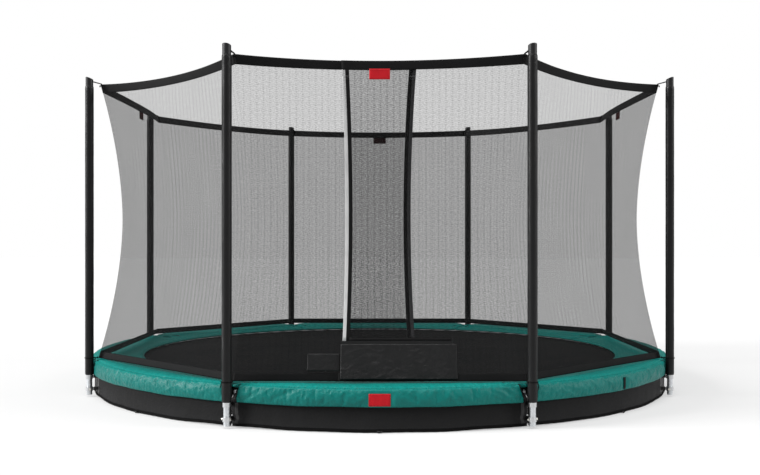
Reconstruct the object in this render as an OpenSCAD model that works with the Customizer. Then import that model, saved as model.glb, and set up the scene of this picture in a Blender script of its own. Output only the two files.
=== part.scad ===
// In-ground round trampoline with a waisted safety net.
// Millimetres, +Z up, origin on the ground at the centre; the entry faces -Y.

/* [Frame] */
// Radius of the frame tube's centreline
frame_r = 1865; // [1400:5:2400]
// Height of the frame tube's top above the ground
frame_h = 199; // [185:1:300]
// Outer diameter of the top tube
ring_tube_d = 48; // [38:1:60]
// Outer diameter of the ground tube
base_tube_d = 42; // [34:1:50]
// Outer diameter of the short posts
post_d = 38; // [34:1:40]
// Wall of every frame tube
tube_wall = 2; // [1.5:0.1:3]
// Wall of the cast tee sockets
socket_wall = 3; // [2:0.5:4]
// Length of a tee socket along the ring
socket_len = 96; // [80:2:130]
// Length of a tee socket's upright stub, measured from its wall
stub_len = 30; // [20:1:34]
// Width of the flat foot under each ground socket
foot_w = 90; // [60:5:120]

/* [Mat and springs] */
// Radial space between the frame tube's centreline and the mat's edge
spring_span = 225; // [200:5:300]
// Thickness of the woven mat
mat_t = 2; // [1:0.5:4]
// Width of the folded hem at the mat's edge
mat_hem_w = 32; // [20:2:60]
// Thickness of the folded hem at the mat's edge
mat_hem_t = 5; // [3:0.5:8]
// Height of the mat's middle above the ground
mat_z = 188; // [180:1:192]
// Number of springs on each frame section
springs_per_section = 10; // [6:1:12]
// Outer diameter of a spring's coils
spring_d = 22; // [16:1:26]
// Diameter of the spring wire
spring_wire_d = 3.6; // [2.5:0.1:4.2]
// Diameter of the mat rings' wire
ring_wire_d = 5; // [4:0.5:6]
// Length of a mat ring from its base to its nose
ring_len = 30; // [26:1:40]
// Width of a mat ring's base
ring_w = 40; // [34:1:60]

/* [Edge pad] */
// How far the pad reaches in over the mat
pad_overlap = 31; // [10:1:60]
// Thickness of the pad over the frame
pad_t_outer = 19.5; // [15:0.5:40]
// Thickness of the pad at its inner edge
pad_t_inner = 14; // [10:0.5:30]
// Drop of the pad's underside from the frame to the inner edge
pad_inner_drop = 7; // [0:0.5:8]
// Rise of the pad's crown over a straight line
pad_crown = 2.5; // [0:0.5:8]
// Thickness of the flange that hangs down outside the frame
flange_t = 19.4; // [12:0.2:30]
// Height of the flange from its lower edge to the pad's top
flange_h = 94; // [60:1:110]
// Width of the gap in the flange at a pole, at the top
notch_w_top = 112; // [70:1:130]
// Width of the gap in the flange at a pole, at the bottom
notch_w_bottom = 64; // [56:1:120]

/* [Skirt] */
// Thickness of the skirt fabric
skirt_t = 2; // [1:0.5:3]
// How far the skirt stands out from the frame tube's centreline
skirt_stand = 55; // [30:1:60]
// Diameter of the cord hem at the skirt's foot
hem_d = 14; // [8:1:20]

/* [Poles] */
// Distance from the frame tube's centreline to the pole circle
pole_stand = 105; // [90:1:140]
// Angle between each main axis and the poles beside it
pole_angle = 23.6; // [22.5:0.1:24.4]
// Outer diameter of a pole tube
pole_d = 34; // [28:1:38]
// Height of a pole tube's top
pole_top = 1965; // [1700:5:2300]
// Height of a pole tube's foot
pole_foot = 12; // [6:1:30]
// Height of the joint between lower and upper pole tubes
pole_joint_z = 980; // [600:10:1300]
// Length of the spigot inside the pole's joint
spigot_len = 90; // [50:5:150]
// Outer diameter of the foam sleeve
sleeve_d = 52; // [44:1:70]
// Height of the sleeve's lower end
sleeve_foot = 136; // [125:1:200]
// How far the sleeve's upper end stays below the pole's top
sleeve_below_top = 36; // [20:1:80]
// Diameter of the pole cap
cap_d = 46; // [42:1:60]
// Height of the cap above the pole's top
cap_rise = 23; // [20:1:40]
// Slope of the cap's top down towards the middle
cap_slope = 17; // [0:1:20]

/* [Pole brackets] */
// Wall of the collar round the pole
collar_wall = 4; // [3:0.5:6]
// Width of the arm
arm_t = 8; // [5:0.5:12]
// Thickness of the plate that seats on the tee sockets
plate_t = 4; // [3:0.5:5]
// Height of a bracket's collar
collar_h = 24; // [16:1:24]
// Height of the lower pole bolt
lower_bolt_z = 48; // [44:1:52]
// Diameter of the pole bolts
bolt_d = 8; // [6:1:10]
// Diameter of the frame screws
screw_d = 6; // [4:1:7]

/* [Net] */
// Distance from the pole circle in to the net's corner at its foot
foot_inset = 55; // [50:1:90]
// Distance from the pole circle in to the net's corner at its waist
waist_inset = 201; // [90:1:260]
// Distance from the pole circle in to the net's corner at its top
top_inset = 67; // [50:1:100]
// Height of the net's waist
waist_z = 1100; // [900:10:1300]
// Height of the bottom band
foot_band_h = 48; // [30:1:70]
// Height of the top band
top_band_h = 52; // [30:1:80]
// Thickness of the sewn bands
band_t = 5; // [3:0.5:6]
// Thickness of the netting
net_t = 3; // [2:0.5:4]
// Width of a net bar
strand_w = 9; // [5:1:14]
// Width of the border at each corner
corner_w = 14; // [8:1:20]
// How far the top band bows in between two poles
top_bow = 67; // [0:1:120]
// How far the top band sags between two poles
top_sag = 25; // [0:1:60]
// Gaps across one net panel
gap_cols = 5; // [3:1:6]
// Gaps up one net panel
gap_rows = 6; // [4:1:7]
// Diameter of the tie cord
tie_d = 5; // [4:0.5:6]

/* [Entry] */
// Width of the binding on each flap's free edge
binding_w = 38; // [25:1:50]
// Distance of the outer flap's free edge from the middle, at the waist
outer_edge_x = 183; // [150:1:260]
// Distance of the inner flap's free edge from the middle, at the waist
inner_edge_x = 166; // [130:1:260]
// How much further out the outer flap's free edge lies at the net's ends
outer_edge_spread = 20; // [0:1:40]
// How much further out the inner flap's free edge lies at the net's ends
inner_edge_spread = 32; // [0:1:40]
// Lower edge of both flaps
flap_foot_z = 442; // [430:1:560]
// Upper end of both flaps
flap_top_z = 1857; // [1700:1:1880]
// Width of a flap at its upper end
flap_top_w = 50; // [45:1:90]
// Distance from the middle to the outer flap's sewn end
outer_root_x = 385; // [330:5:520]
// Distance from the middle to the inner flap's sewn end
inner_root_x = 196; // [190:2:200]
// Height of the fabric threshold
apron_h = 195; // [150:1:195]
// Thickness of the threshold fabric
apron_t = 3; // [2:0.5:4]
// Depth of the threshold's wrinkles
wrinkle = 7; // [0:1:12]

/* [Trim] */
// Width of the large sewn tags
tag_w = 110; // [60:5:140]
// Height of the large sewn tags
tag_h = 61; // [40:1:80]
// Thickness of the sewn tags
tag_t = 1.2; // [0.8:0.2:2]

/* [Hidden] */

// Clearances
seat = 0.3;       // between pieces that rest on each other
slip = 0.15;      // all round a tube inside another
seam = 0.5;       // between two sewn sections
bolt_slack = 0.25; // all round a bolt in its hole

// Facets
ring_fn = 240;
tube_fn = 48;
$fn = 32;

sides = 8;
side_step = 360 / sides;

// Frame
ring_z = frame_h - ring_tube_d / 2;
foot_t = 3;
foot_lift = 1;    // from the ground to the ground socket's round underside
ring_socket_r = ring_tube_d / 2 + seat + socket_wall;
base_socket_r = base_tube_d / 2 + seat + socket_wall;
base_z = base_socket_r + foot_lift;
stub_r = post_d / 2 + seat + socket_wall;
post_foot_z = base_z + base_tube_d / 2 + 1;
post_head_z = ring_z - ring_tube_d / 2 - 1;
base_stub_z = base_z + base_socket_r + stub_len;
ring_stub_z = ring_z - ring_socket_r - stub_len;
socket_half_angle = socket_len / 2 / frame_r * 180 / PI;
socket_screw_angle = (socket_len / 2 - 15) / frame_r * 180 / PI;
section_end_angle = seat / frame_r * 180 / PI;

// Mat and springs
mat_r = frame_r - spring_span;
springs_total = sides * springs_per_section;
spring_step = 360 / springs_total;
ring_base_r = mat_r + seat + ring_wire_d / 2;
ring_nose_r = ring_base_r + ring_len;
ring_nose_w = 12;
hook_hole_d = spring_wire_d + 4;
hook_rise = mat_z - ring_z;
hook_loop_r = ring_wire_d / 2 + spring_wire_d / 2 + 3;
hook_loop_x = ring_nose_r - ring_wire_d / 2
    + sqrt(pow(hook_loop_r - spring_wire_d / 2 - seat, 2) - pow(ring_wire_d / 2, 2));
spring_head_r = hook_hole_d / 2 + 0.6;
spring_head_x = frame_r + spring_wire_d / 2
    - sqrt(pow(ring_tube_d / 2 - tube_wall - seat, 2) - pow(hook_rise + spring_head_r, 2));
coil_in_x = hook_loop_x + hook_loop_r + 8;
coil_out_x = frame_r - ring_tube_d / 2 - 36;

// Skirt and pad
wrap_r = ring_socket_r + seat;
skirt_r = frame_r + skirt_stand;
skirt_out_r = skirt_r + skirt_t;
hem_r = skirt_r + skirt_t / 2;
hem_z = hem_d / 2 + 1;
pad_inner_r = mat_r - pad_overlap;
flange_in_r = skirt_out_r + seat;
pad_outer_r = flange_in_r + flange_t;
pad_under_z = ring_z + wrap_r + skirt_t + seat;
pad_top_z = pad_under_z + pad_t_outer;
pad_inner_z = pad_under_z - pad_inner_drop;
flange_foot_z = pad_top_z - flange_h;
slit_w = arm_t + 6;

// Poles and brackets
pole_r = frame_r + pole_stand;
sleeve_top = pole_top - sleeve_below_top;
upper_collar_z = sleeve_foot - seat - collar_h;
lower_collar_z = lower_bolt_z - collar_h / 2;
collar_r = pole_d / 2 + seat + collar_wall;
plate_r = frame_r + stub_r + seat;
plate_w = 84;
lower_screw_z = (base_z + base_socket_r + lower_collar_z + collar_h) / 2;
upper_screw_z = (ring_stub_z + upper_collar_z + collar_h) / 2;

// Net
net_foot_z = pad_top_z + 3;
net_top_z = sleeve_top + 16;
foot_r = pole_r - foot_inset;
waist_r = pole_r - waist_inset;
top_r = pole_r - top_inset;
flare_power = 1.8;
bow_power = 3;
layer = band_t + seat;
foot_band_z = net_foot_z + foot_band_h;
top_band_z = net_top_z - top_band_h;
corner_gap = band_t / 2 * tan(side_step / 2) + seam / 2;
corner_out = band_t / 2 * cos(side_step / 2) - corner_gap * sin(side_step / 2);
corner_side = band_t / 2 * sin(side_step / 2) + corner_gap * cos(side_step / 2);
tie_foot_z = pad_top_z + 16;
tie_top_z = net_top_z - 12;
tie_cap_z = sleeve_top + 24;
knot_d = 10;
knot_stand = corner_out + sqrt(pow(knot_d / 2 + 2 * seat, 2) - pow(corner_side, 2));
flap_gap = 0.6;
front_az = 270;

steel = [0.72, 0.74, 0.76];
black = [0.07, 0.07, 0.08];
teal = [0.0, 0.42, 0.36];
net_grey = [0.33, 0.34, 0.35];
red = [0.75, 0.05, 0.1];

// ---------- Helpers ----------

function lerp(a, b, s) = a + (b - a) * s;
function arc(centre, r, from, to, n) =
    [for (i = [0:n]) centre + r * [cos(lerp(from, to, i / n)), sin(lerp(from, to, i / n))]];

// Azimuth of post k and of pole k, counted from +X
function post_az(k) = side_step * (k - 0.5);
function pole_az(k) = k % 2 == 1 ? side_step * (k - 1) + pole_angle : side_step * k - pole_angle;

// Azimuth of face j, and half the angle that it spans between two poles
function face_az(j) = side_step * j;
function face_half(j) = j % 2 == 0 ? pole_angle : side_step - pole_angle;

// A round rod from one point to another
module rod(a, b, d) {
    v = b - a;
    translate(a) rotate([0, acos(v.z / norm(v)), atan2(v.y, v.x)]) cylinder(h = norm(v), d = d, $fn = 16);
}

// A profile in radius and height, swept from azimuth a0 through span degrees
module swept(a0, span) {
    rotate([0, 0, a0]) rotate_extrude(angle = span, $fn = ring_fn) children();
}

// Whatever is drawn along +X, turned to an azimuth
module at_az(az) {
    rotate([0, 0, az]) children();
}

module tube_profile(outer_r, inner_r) {
    difference() {
        circle(r = outer_r, $fn = tube_fn);
        circle(r = inner_r, $fn = tube_fn);
    }
}

// A closed plate through a grid of points, pts[row][column], thickened along the face's normal.
// A cell is left open where both its column and its row are marked as gaps.
module grid_plate(az, pts, row_t, col_gap, row_gap) {
    nj = len(pts);
    ni = len(pts[0]);
    n = [cos(az), sin(az), 0];
    function id(i, j, back) = (back * nj + j) * ni + i;
    function open(i, j) = i < 0 || j < 0 || i > ni - 2 || j > nj - 2 || (col_gap[i] && row_gap[j]);
    function wall(i0, j0, i1, j1) = [
        [id(i1, j1, 0), id(i0, j0, 0), id(i0, j0, 1)],
        [id(i1, j1, 0), id(i0, j0, 1), id(i1, j1, 1)]
    ];
    points = [for (back = [0, 1]) for (j = [0:nj - 1]) for (i = [0:ni - 1])
        pts[j][i] + n * row_t[j] * (0.5 - back)];
    faces = [for (j = [0:nj - 2]) for (i = [0:ni - 2]) if (!open(i, j)) each concat(
        [[id(i, j, 0), id(i, j + 1, 0), id(i + 1, j + 1, 0)], [id(i, j, 0), id(i + 1, j + 1, 0), id(i + 1, j, 0)]],
        [[id(i, j, 1), id(i + 1, j, 1), id(i + 1, j + 1, 1)], [id(i, j, 1), id(i + 1, j + 1, 1), id(i, j + 1, 1)]],
        open(i - 1, j) ? wall(i, j, i, j + 1) : [],
        open(i, j + 1) ? wall(i, j + 1, i + 1, j + 1) : [],
        open(i + 1, j) ? wall(i + 1, j + 1, i + 1, j) : [],
        open(i, j - 1) ? wall(i + 1, j, i, j) : []
    )];
    polyhedron(points, faces);
}

// ---------- Frame ----------

// One section of the top tube, drilled for the spring hooks
module frame_ring(k) {
    a0 = post_az(k) + section_end_angle;
    color(steel) difference() {
        swept(a0, side_step - 2 * section_end_angle) translate([frame_r, ring_z])
            tube_profile(ring_tube_d / 2, ring_tube_d / 2 - tube_wall);
        for (i = [0.5:springs_per_section - 0.5]) at_az(post_az(k) + i * spring_step)
            translate([spring_head_x, 0, mat_z]) rotate([0, -90, 0]) cylinder(h = ring_tube_d / 2, d = hook_hole_d, $fn = 16);
        for (a = [post_az(k) + socket_screw_angle, post_az(k + 1) - socket_screw_angle])
            socket_screw_hole(a, ring_z);
    }
}

// One quarter of the ground tube
module base_ring(k) {
    a0 = post_az(2 * k - 1) + section_end_angle;
    color(steel) difference() {
        swept(a0, 2 * side_step - 2 * section_end_angle) translate([frame_r, base_z])
            tube_profile(base_tube_d / 2, base_tube_d / 2 - tube_wall);
        for (a = [post_az(2 * k - 1) + socket_screw_angle, post_az(2 * k) - socket_screw_angle,
                  post_az(2 * k) + socket_screw_angle, post_az(2 * k + 1) - socket_screw_angle])
            socket_screw_hole(a, base_z);
    }
}

module frame_posts() {
    color(steel) for (k = [1:sides]) at_az(post_az(k)) difference() {
        translate([frame_r, 0, post_foot_z]) cylinder(h = post_head_z - post_foot_z, d = post_d);
        translate([frame_r, 0, post_foot_z - 1])
            cylinder(h = post_head_z - post_foot_z + 2, d = post_d - 2 * tube_wall);
        plate_screw_holes();
    }
}

// Tee sockets: eight under the top tube and eight with a flat foot on the ground
module frame_sockets() {
    color(steel) for (k = [1:sides]) {
        difference() {
            tee(k, ring_z, ring_socket_r, ring_stub_z);
            tee_bore(k, ring_z, ring_tube_d / 2 + seat, ring_stub_z);
        }
        difference() {
            union() {
                tee(k, base_z, base_socket_r, base_stub_z);
                at_az(post_az(k)) translate([frame_r - foot_w / 2, -foot_w / 2, 0])
                    cube([foot_w / 2 + base_socket_r, foot_w, foot_t]);
            }
            tee_bore(k, base_z, base_tube_d / 2 + seat, base_stub_z);
        }
    }
}

module tee(k, z, sleeve_r, stub_z) {
    swept(post_az(k) - socket_half_angle, 2 * socket_half_angle) translate([frame_r, z])
        circle(r = sleeve_r, $fn = tube_fn);
    at_az(post_az(k)) translate([frame_r, 0, min(z, stub_z)]) cylinder(h = abs(stub_z - z), r = stub_r);
}

module tee_bore(k, z, bore_r, stub_z) {
    past = 1;
    swept(post_az(k) - 2 * socket_half_angle, 4 * socket_half_angle) translate([frame_r, z])
        circle(r = bore_r, $fn = tube_fn);
    at_az(post_az(k)) {
        translate([frame_r, 0, min(z, stub_z - past)])
            cylinder(h = abs(stub_z - z) + past, d = post_d + 2 * seat);
        plate_screw_holes();
    }
    for (s = [-1, 1]) socket_screw_hole(post_az(k) + s * socket_screw_angle, z);
}

// Screw holes that reach the tube's bore from the mat side
module socket_screw_hole(az, z) {
    at_az(az) translate([frame_r - 10, 0, z]) rotate([0, -90, 0])
        cylinder(h = ring_tube_d, d = screw_d + 2 * bolt_slack, $fn = 16);
}

// Screw holes through plate, stub and post, in the post's own direction
module plate_screw_holes() {
    for (z = [lower_screw_z, upper_screw_z]) translate([frame_r + 5, 0, z]) rotate([0, 90, 0])
        cylinder(h = stub_r + plate_t, d = screw_d + 2 * bolt_slack, $fn = 16);
}

module screw(len, head_d, head_h) {
    cylinder(h = len, d = screw_d, $fn = 16);
    translate([0, 0, -head_h]) cylinder(h = head_h, d1 = head_d - 3, d2 = head_d, $fn = 24);
}

module frame_bolts() {
    color(steel) for (k = [1:sides]) {
        // through the lower collar and the pole
        at_az(pole_az(k)) translate([pole_r, 0, lower_bolt_z]) rotate([90, 0, 0]) {
            translate([0, 0, -collar_r - 5]) cylinder(h = 2 * collar_r + 16, d = bolt_d, $fn = 24);
            translate([0, 0, collar_r + seat]) cylinder(h = 6, d = 14, $fn = 6);
            translate([0, 0, -collar_r - seat - 6]) cylinder(h = 6, d = 14, $fn = 6);
        }
        // bracket plates to the sockets
        at_az(post_az(k)) for (z = [lower_screw_z, upper_screw_z])
            translate([plate_r + plate_t + seat, 0, z]) rotate([0, -90, 0]) screw(16, 10, 2.5);
        // sockets to the tubes
        for (s = [-1, 1]) at_az(post_az(k) + s * socket_screw_angle) {
            translate([frame_r - ring_socket_r - seat - 1, 0, ring_z]) rotate([0, 90, 0]) screw(14, 11, 3);
            translate([frame_r - base_socket_r - seat - 1, 0, base_z]) rotate([0, 90, 0]) screw(14, 11, 3);
        }
    }
}

// ---------- Mat ----------

module jumping_mat() {
    color(black) rotate_extrude($fn = ring_fn) {
        translate([0, mat_z - mat_t / 2]) square([mat_r - mat_hem_w + 1, mat_t]);
        translate([mat_r - mat_hem_w, mat_z - mat_hem_t / 2]) square([mat_hem_w, mat_hem_t]);
    }
}

// Tapered rings, one for each spring, flat on both sides
module mat_rings() {
    color(steel) for (i = [0:springs_total - 1]) at_az((i + 0.5) * spring_step + post_az(1))
        translate([0, 0, mat_z - ring_wire_d / 2]) linear_extrude(height = ring_wire_d) difference() {
            ring_outline(ring_wire_d / 2);
            ring_outline(-ring_wire_d / 2);
        }
}

// The tapered outline, grown or shrunk by a margin from the wire's middle
module ring_outline(margin) {
    slope = atan((ring_w - ring_nose_w) / 2 / ring_len);
    side = margin * (1 / cos(slope) + tan(slope));
    nose = margin * (1 / cos(slope) - tan(slope));
    polygon([
        [ring_base_r - margin, -ring_w / 2 - side], [ring_nose_r + margin, -ring_nose_w / 2 - nose],
        [ring_nose_r + margin, ring_nose_w / 2 + nose], [ring_base_r - margin, ring_w / 2 + side]
    ]);
}

module springs() {
    color(steel) for (i = [0:springs_total - 1]) at_az((i + 0.5) * spring_step + post_az(1))
        translate([0, 0, mat_z]) spring();
}

// A closed coil with a loop over the mat ring and a headed end behind the frame tube's wall
module spring() {
    wire_r = spring_wire_d / 2;
    head_in_x = spring_head_x - wire_r;
    rotate([0, 90, 0]) rotate_extrude($fn = 24) polygon([
        [0, coil_in_x], [spring_d / 2, coil_in_x], [spring_d / 2, coil_out_x], [wire_r, coil_out_x],
        [wire_r, head_in_x], [spring_head_r, head_in_x],
        [spring_head_r, head_in_x + spring_wire_d], [0, head_in_x + spring_wire_d]
    ]);
    rotate([90, 0, 0]) linear_extrude(height = spring_wire_d, center = true) difference() {
        union() {
            translate([hook_loop_x, 0]) circle(hook_loop_r + wire_r);
            translate([hook_loop_x, -wire_r]) square([coil_in_x - hook_loop_x, spring_wire_d]);
        }
        translate([hook_loop_x, 0]) circle(hook_loop_r - wire_r);
    }
}

// ---------- Skirt and pad ----------

module skirt_profile() {
    flare_z = ring_z - 25;
    wrap_steps = 8;
    polygon(concat(
        arc([frame_r, ring_z], wrap_r + skirt_t, 90, 0, wrap_steps),
        [[skirt_out_r, flare_z], [skirt_out_r, hem_z], [skirt_r, hem_z], [skirt_r, flare_z]],
        arc([frame_r, ring_z], wrap_r, 0, 90, wrap_steps)
    ));
    translate([hem_r, hem_z]) circle(d = hem_d, $fn = 24);
}

// Eight sections that hang from the top tube, parted where the pole brackets pass
module skirt() {
    slit = slit_w / 2 / skirt_r * 180 / PI;
    color(black) for (j = [0:sides - 1])
        swept(face_az(j) - face_half(j) + slit, 2 * (face_half(j) - slit)) skirt_profile();
}

module hem_toggles() {
    toggle_d = 9;
    toggle_len = 26;
    color(black) for (j = [0:sides - 1]) at_az(face_az(j))
        translate([hem_r + hem_d / 2 + seat + toggle_d / 2, 0, hem_z]) rotate([90, 0, 0])
            translate([0, 0, -toggle_len / 2]) cylinder(h = toggle_len, d = toggle_d, $fn = 24);
}

module pad_profile() {
    crown_steps = 8;
    nose_r = pad_t_inner / 2;
    shoulder_r = flange_t * 0.72;
    hem_round = flange_t * 0.32;
    top_from = pad_inner_r + nose_r;
    top_to = pad_outer_r - shoulder_r;
    top = [for (i = [1:crown_steps - 1]) let(s = i / crown_steps) [
        lerp(top_from, top_to, s),
        lerp(pad_inner_z + pad_t_inner, pad_top_z, s) + pad_crown * 4 * s * (1 - s)
    ]];
    polygon(concat(
        arc([top_from, pad_inner_z + nose_r], nose_r, 270, 90, 6), top,
        arc([top_to, pad_top_z - shoulder_r], shoulder_r, 90, 0, 6),
        arc([pad_outer_r - hem_round, flange_foot_z + hem_round], hem_round, 0, -90, 4),
        arc([flange_in_r + hem_round, flange_foot_z + hem_round], hem_round, -90, -180, 4),
        [[flange_in_r, pad_under_z], [frame_r - ring_tube_d / 2, pad_under_z]]
    ));
}

// One section of the edge pad, with its share of the gap at each pole
module edge_pad(j) {
    seam_angle = seam / 2 / pad_inner_r * 180 / PI;
    half = face_half(j) - seam_angle;
    color(teal) difference() {
        swept(face_az(j) - half, 2 * half) pad_profile();
        for (s = [-1, 1]) at_az(face_az(j) + s * face_half(j)) flange_notch();
        if (face_az(j) == front_az) tag_pocket();
    }
}

module flange_notch() {
    past = 5;
    reach = flange_t + 2 * past;
    translate([flange_in_r - 1, 0, 0]) rotate([90, 0, 90]) linear_extrude(height = reach) polygon([
        [-notch_w_bottom / 2, flange_foot_z - past], [notch_w_bottom / 2, flange_foot_z - past],
        [notch_w_top / 2, pad_top_z + past], [-notch_w_top / 2, pad_top_z + past]
    ]);
}

// ---------- Poles ----------

module pole(k) {
    inner_r = pole_d / 2 - tube_wall;
    color(steel) at_az(pole_az(k)) translate([pole_r, 0, 0]) {
        difference() {
            union() {
                translate([0, 0, pole_foot]) cylinder(h = pole_joint_z - pole_foot, d = pole_d);
                translate([0, 0, pole_joint_z - 1]) cylinder(h = spigot_len + 1, r = inner_r - slip);
            }
            translate([0, 0, pole_foot - 1])
                cylinder(h = pole_joint_z + spigot_len + 2, r = inner_r - slip - tube_wall);
            translate([0, 0, lower_bolt_z]) rotate([90, 0, 0]) translate([0, 0, -pole_d])
                cylinder(h = 2 * pole_d, d = bolt_d + 2 * bolt_slack, $fn = 24);
        }
        difference() {
            translate([0, 0, pole_joint_z + seat]) cylinder(h = pole_top - pole_joint_z - seat, d = pole_d);
            translate([0, 0, pole_joint_z - 1]) cylinder(h = pole_top - pole_joint_z + 2, r = inner_r);
        }
    }
}

module pole_sleeve(k) {
    edge_r = 4;
    wall = (sleeve_d - pole_d) / 2 - seat;
    bore_r = pole_d / 2 + seat;
    color(black) at_az(pole_az(k)) translate([pole_r, 0, 0]) rotate_extrude($fn = tube_fn) polygon(concat(
        [[bore_r, sleeve_foot]],
        arc([bore_r + wall - edge_r, sleeve_foot + edge_r], edge_r, -90, 0, 4),
        arc([bore_r + wall - edge_r, sleeve_top - edge_r], edge_r, 0, 90, 4),
        [[bore_r, sleeve_top]]
    ));
}

function tie_cap_point(s) = [pole_r - cap_d / 2, s * 5, tie_cap_z];
function tie_knot_point() = [corner_r(tie_top_z) + knot_stand, 0, tie_top_z];

module pole_caps() {
    cap_top = pole_top + cap_rise;
    round_r = 5;
    tilt = atan(cap_slope / cap_d);
    hole_depth = 5;
    color(black) for (k = [1:sides]) at_az(pole_az(k)) difference() {
        translate([pole_r, 0, 0]) rotate_extrude($fn = tube_fn) polygon(concat(
            [[0, sleeve_top + seat], [cap_d / 2, sleeve_top + seat]],
            arc([cap_d / 2 - round_r, cap_top - round_r], round_r, 0, 90, 5),
            [[0, cap_top]]
        ));
        translate([pole_r, 0, sleeve_top]) cylinder(h = pole_top + seat - sleeve_top, d = pole_d + 2 * seat);
        translate([pole_r + cap_d / 2, 0, cap_top - 1]) rotate([0, -tilt, 0])
            translate([-2 * cap_d, -cap_d, 0]) cube([3 * cap_d, 2 * cap_d, cap_d]);
        for (s = [-1, 1]) let(
            out = tie_cap_point(s) - tie_knot_point(),
            dir = out / norm(out)
        ) rod(tie_cap_point(s) - 10 * dir, tie_cap_point(s) + hole_depth * dir, tie_d + 2 * seat);
    }
}

// Two brackets a pole: a collar round the tube, an arm through the skirt and a plate on the sockets
module pole_brackets() {
    color(steel) for (k = [1:sides], z = [lower_collar_z, upper_collar_z]) difference() {
        union() {
            at_az(pole_az(k)) {
                translate([pole_r, 0, z]) cylinder(h = collar_h, r = collar_r);
                translate([plate_r + plate_t / 2, -arm_t / 2, z + 3])
                    cube([pole_r - plate_r - plate_t / 2, arm_t, collar_h - 6]);
            }
            at_az(post_az(k)) translate([plate_r, -plate_w / 2, z]) cube([plate_t, plate_w, collar_h]);
        }
        at_az(pole_az(k)) translate([pole_r, 0, z]) {
            translate([0, 0, -1]) cylinder(h = collar_h + 2, r = pole_d / 2 + seat);
            translate([0, 0, lower_bolt_z - z]) rotate([90, 0, 0]) translate([0, 0, -pole_d])
                cylinder(h = 2 * pole_d, d = bolt_d + 2 * bolt_slack, $fn = 24);
        }
        at_az(post_az(k)) plate_screw_holes();
    }
}

// ---------- Net ----------

// Radius of the net's corner at a height
function corner_r(z) = z < waist_z
    ? waist_r + (foot_r - waist_r) * pow((waist_z - z) / (waist_z - net_foot_z), flare_power)
    : waist_r + (top_r - waist_r) * pow((z - waist_z) / (net_top_z - waist_z), flare_power);

function rise(z) = z < waist_z ? 0 : pow((z - waist_z) / (net_top_z - waist_z), bow_power);
function half_width(j, z) = corner_r(z) * sin(face_half(j));

// A point of the net on face j: x across the face, z up, off outwards
function net_point(j, x, z, off) = let(
    swell = 1 - pow(min(1, abs(x) / half_width(j, z)), 2),
    out = corner_r(z) * cos(face_half(j)) - top_bow * swell * rise(z) + off,
    az = face_az(j)
) [out * cos(az) - x * sin(az), out * sin(az) + x * cos(az), z - top_sag * swell * rise(z)];

// Lines and gaps between two borders: alternating bars and gaps, n gaps in all
function bar_lines(from, to, first, last, bar, n) = let(
    gap = (to - from - first - last - (n - 1) * bar) / n
) concat([from, from + first],
    [for (i = [1:n - 1]) each [from + first + i * gap + (i - 1) * bar, from + first + i * (gap + bar)]],
    [to - last, to]);
function bar_gaps(n) = [for (i = [0:2 * n]) i % 2 == 1];

function panel_lines(j, z) = let(w = half_width(j, z) - corner_gap)
    bar_lines(-w, w, corner_w, corner_w, strand_w, gap_cols);

module net_panel(j) {
    rows = bar_lines(net_foot_z, net_top_z, foot_band_h, top_band_h, strand_w, gap_rows);
    pts = [for (z = rows) [for (x = panel_lines(j, z)) net_point(j, x, z, 0)]];
    thick = [for (i = [0:len(rows) - 1]) i < 2 || i > len(rows) - 3 ? band_t : net_t];
    color(net_grey) grid_plate(face_az(j), pts, thick, bar_gaps(gap_cols), bar_gaps(gap_rows));
}

// Entry sheets. Face 6 looks at -Y; side 1 is the outer sheet, sewn to the right-hand corner,
// and side -1 the inner sheet, sewn to the left-hand corner. x counts towards the sewn corner.
front = 6;
flap_rows = 5;
sheet_cols = 3;
sewn_z = flap_foot_z - 2;
function edge_x(side, z) = (side > 0 ? outer_edge_x : inner_edge_x)
    + (side > 0 ? outer_edge_spread : inner_edge_spread) * pow((z - waist_z) / (net_top_z - waist_z), 2);
function root_x(side) = side > 0 ? outer_root_x : inner_root_x;
function fold_x(side, z) = lerp(root_x(side), flap_top_w - edge_x(side, flap_top_z),
    (z - flap_foot_z) / (flap_top_z - flap_foot_z));
function flap_lines() = bar_lines(flap_foot_z, flap_top_z, strand_w + 3, strand_w + 3, strand_w, flap_rows);

module entry_flap(side) {
    rows = flap_lines();
    pts = [for (z = rows) let(
        from = -edge_x(side, z),
        w = fold_x(side, z) - from,
        lines = bar_lines(from, from + w, min(binding_w, 0.55 * w), min(strand_w, 0.15 * w),
            min(strand_w, 0.04 * w), sheet_cols)
    ) [for (x = side > 0 ? lines : [for (i = [len(lines) - 1:-1:0]) -lines[i]])
        net_point(front, x, z, side * layer)]];
    gaps = bar_gaps(sheet_cols);
    color(net_grey) grid_plate(front_az, pts, [for (z = rows) net_t], gaps, bar_gaps(flap_rows));
}

function sheet_lines(side, z) = let(
    from = z >= top_band_z ? -edge_x(side, z) : fold_x(side, max(z, sewn_z)) + flap_gap
) bar_lines(from, half_width(front, z) - corner_gap, strand_w + 6, corner_w, strand_w, sheet_cols);

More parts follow.
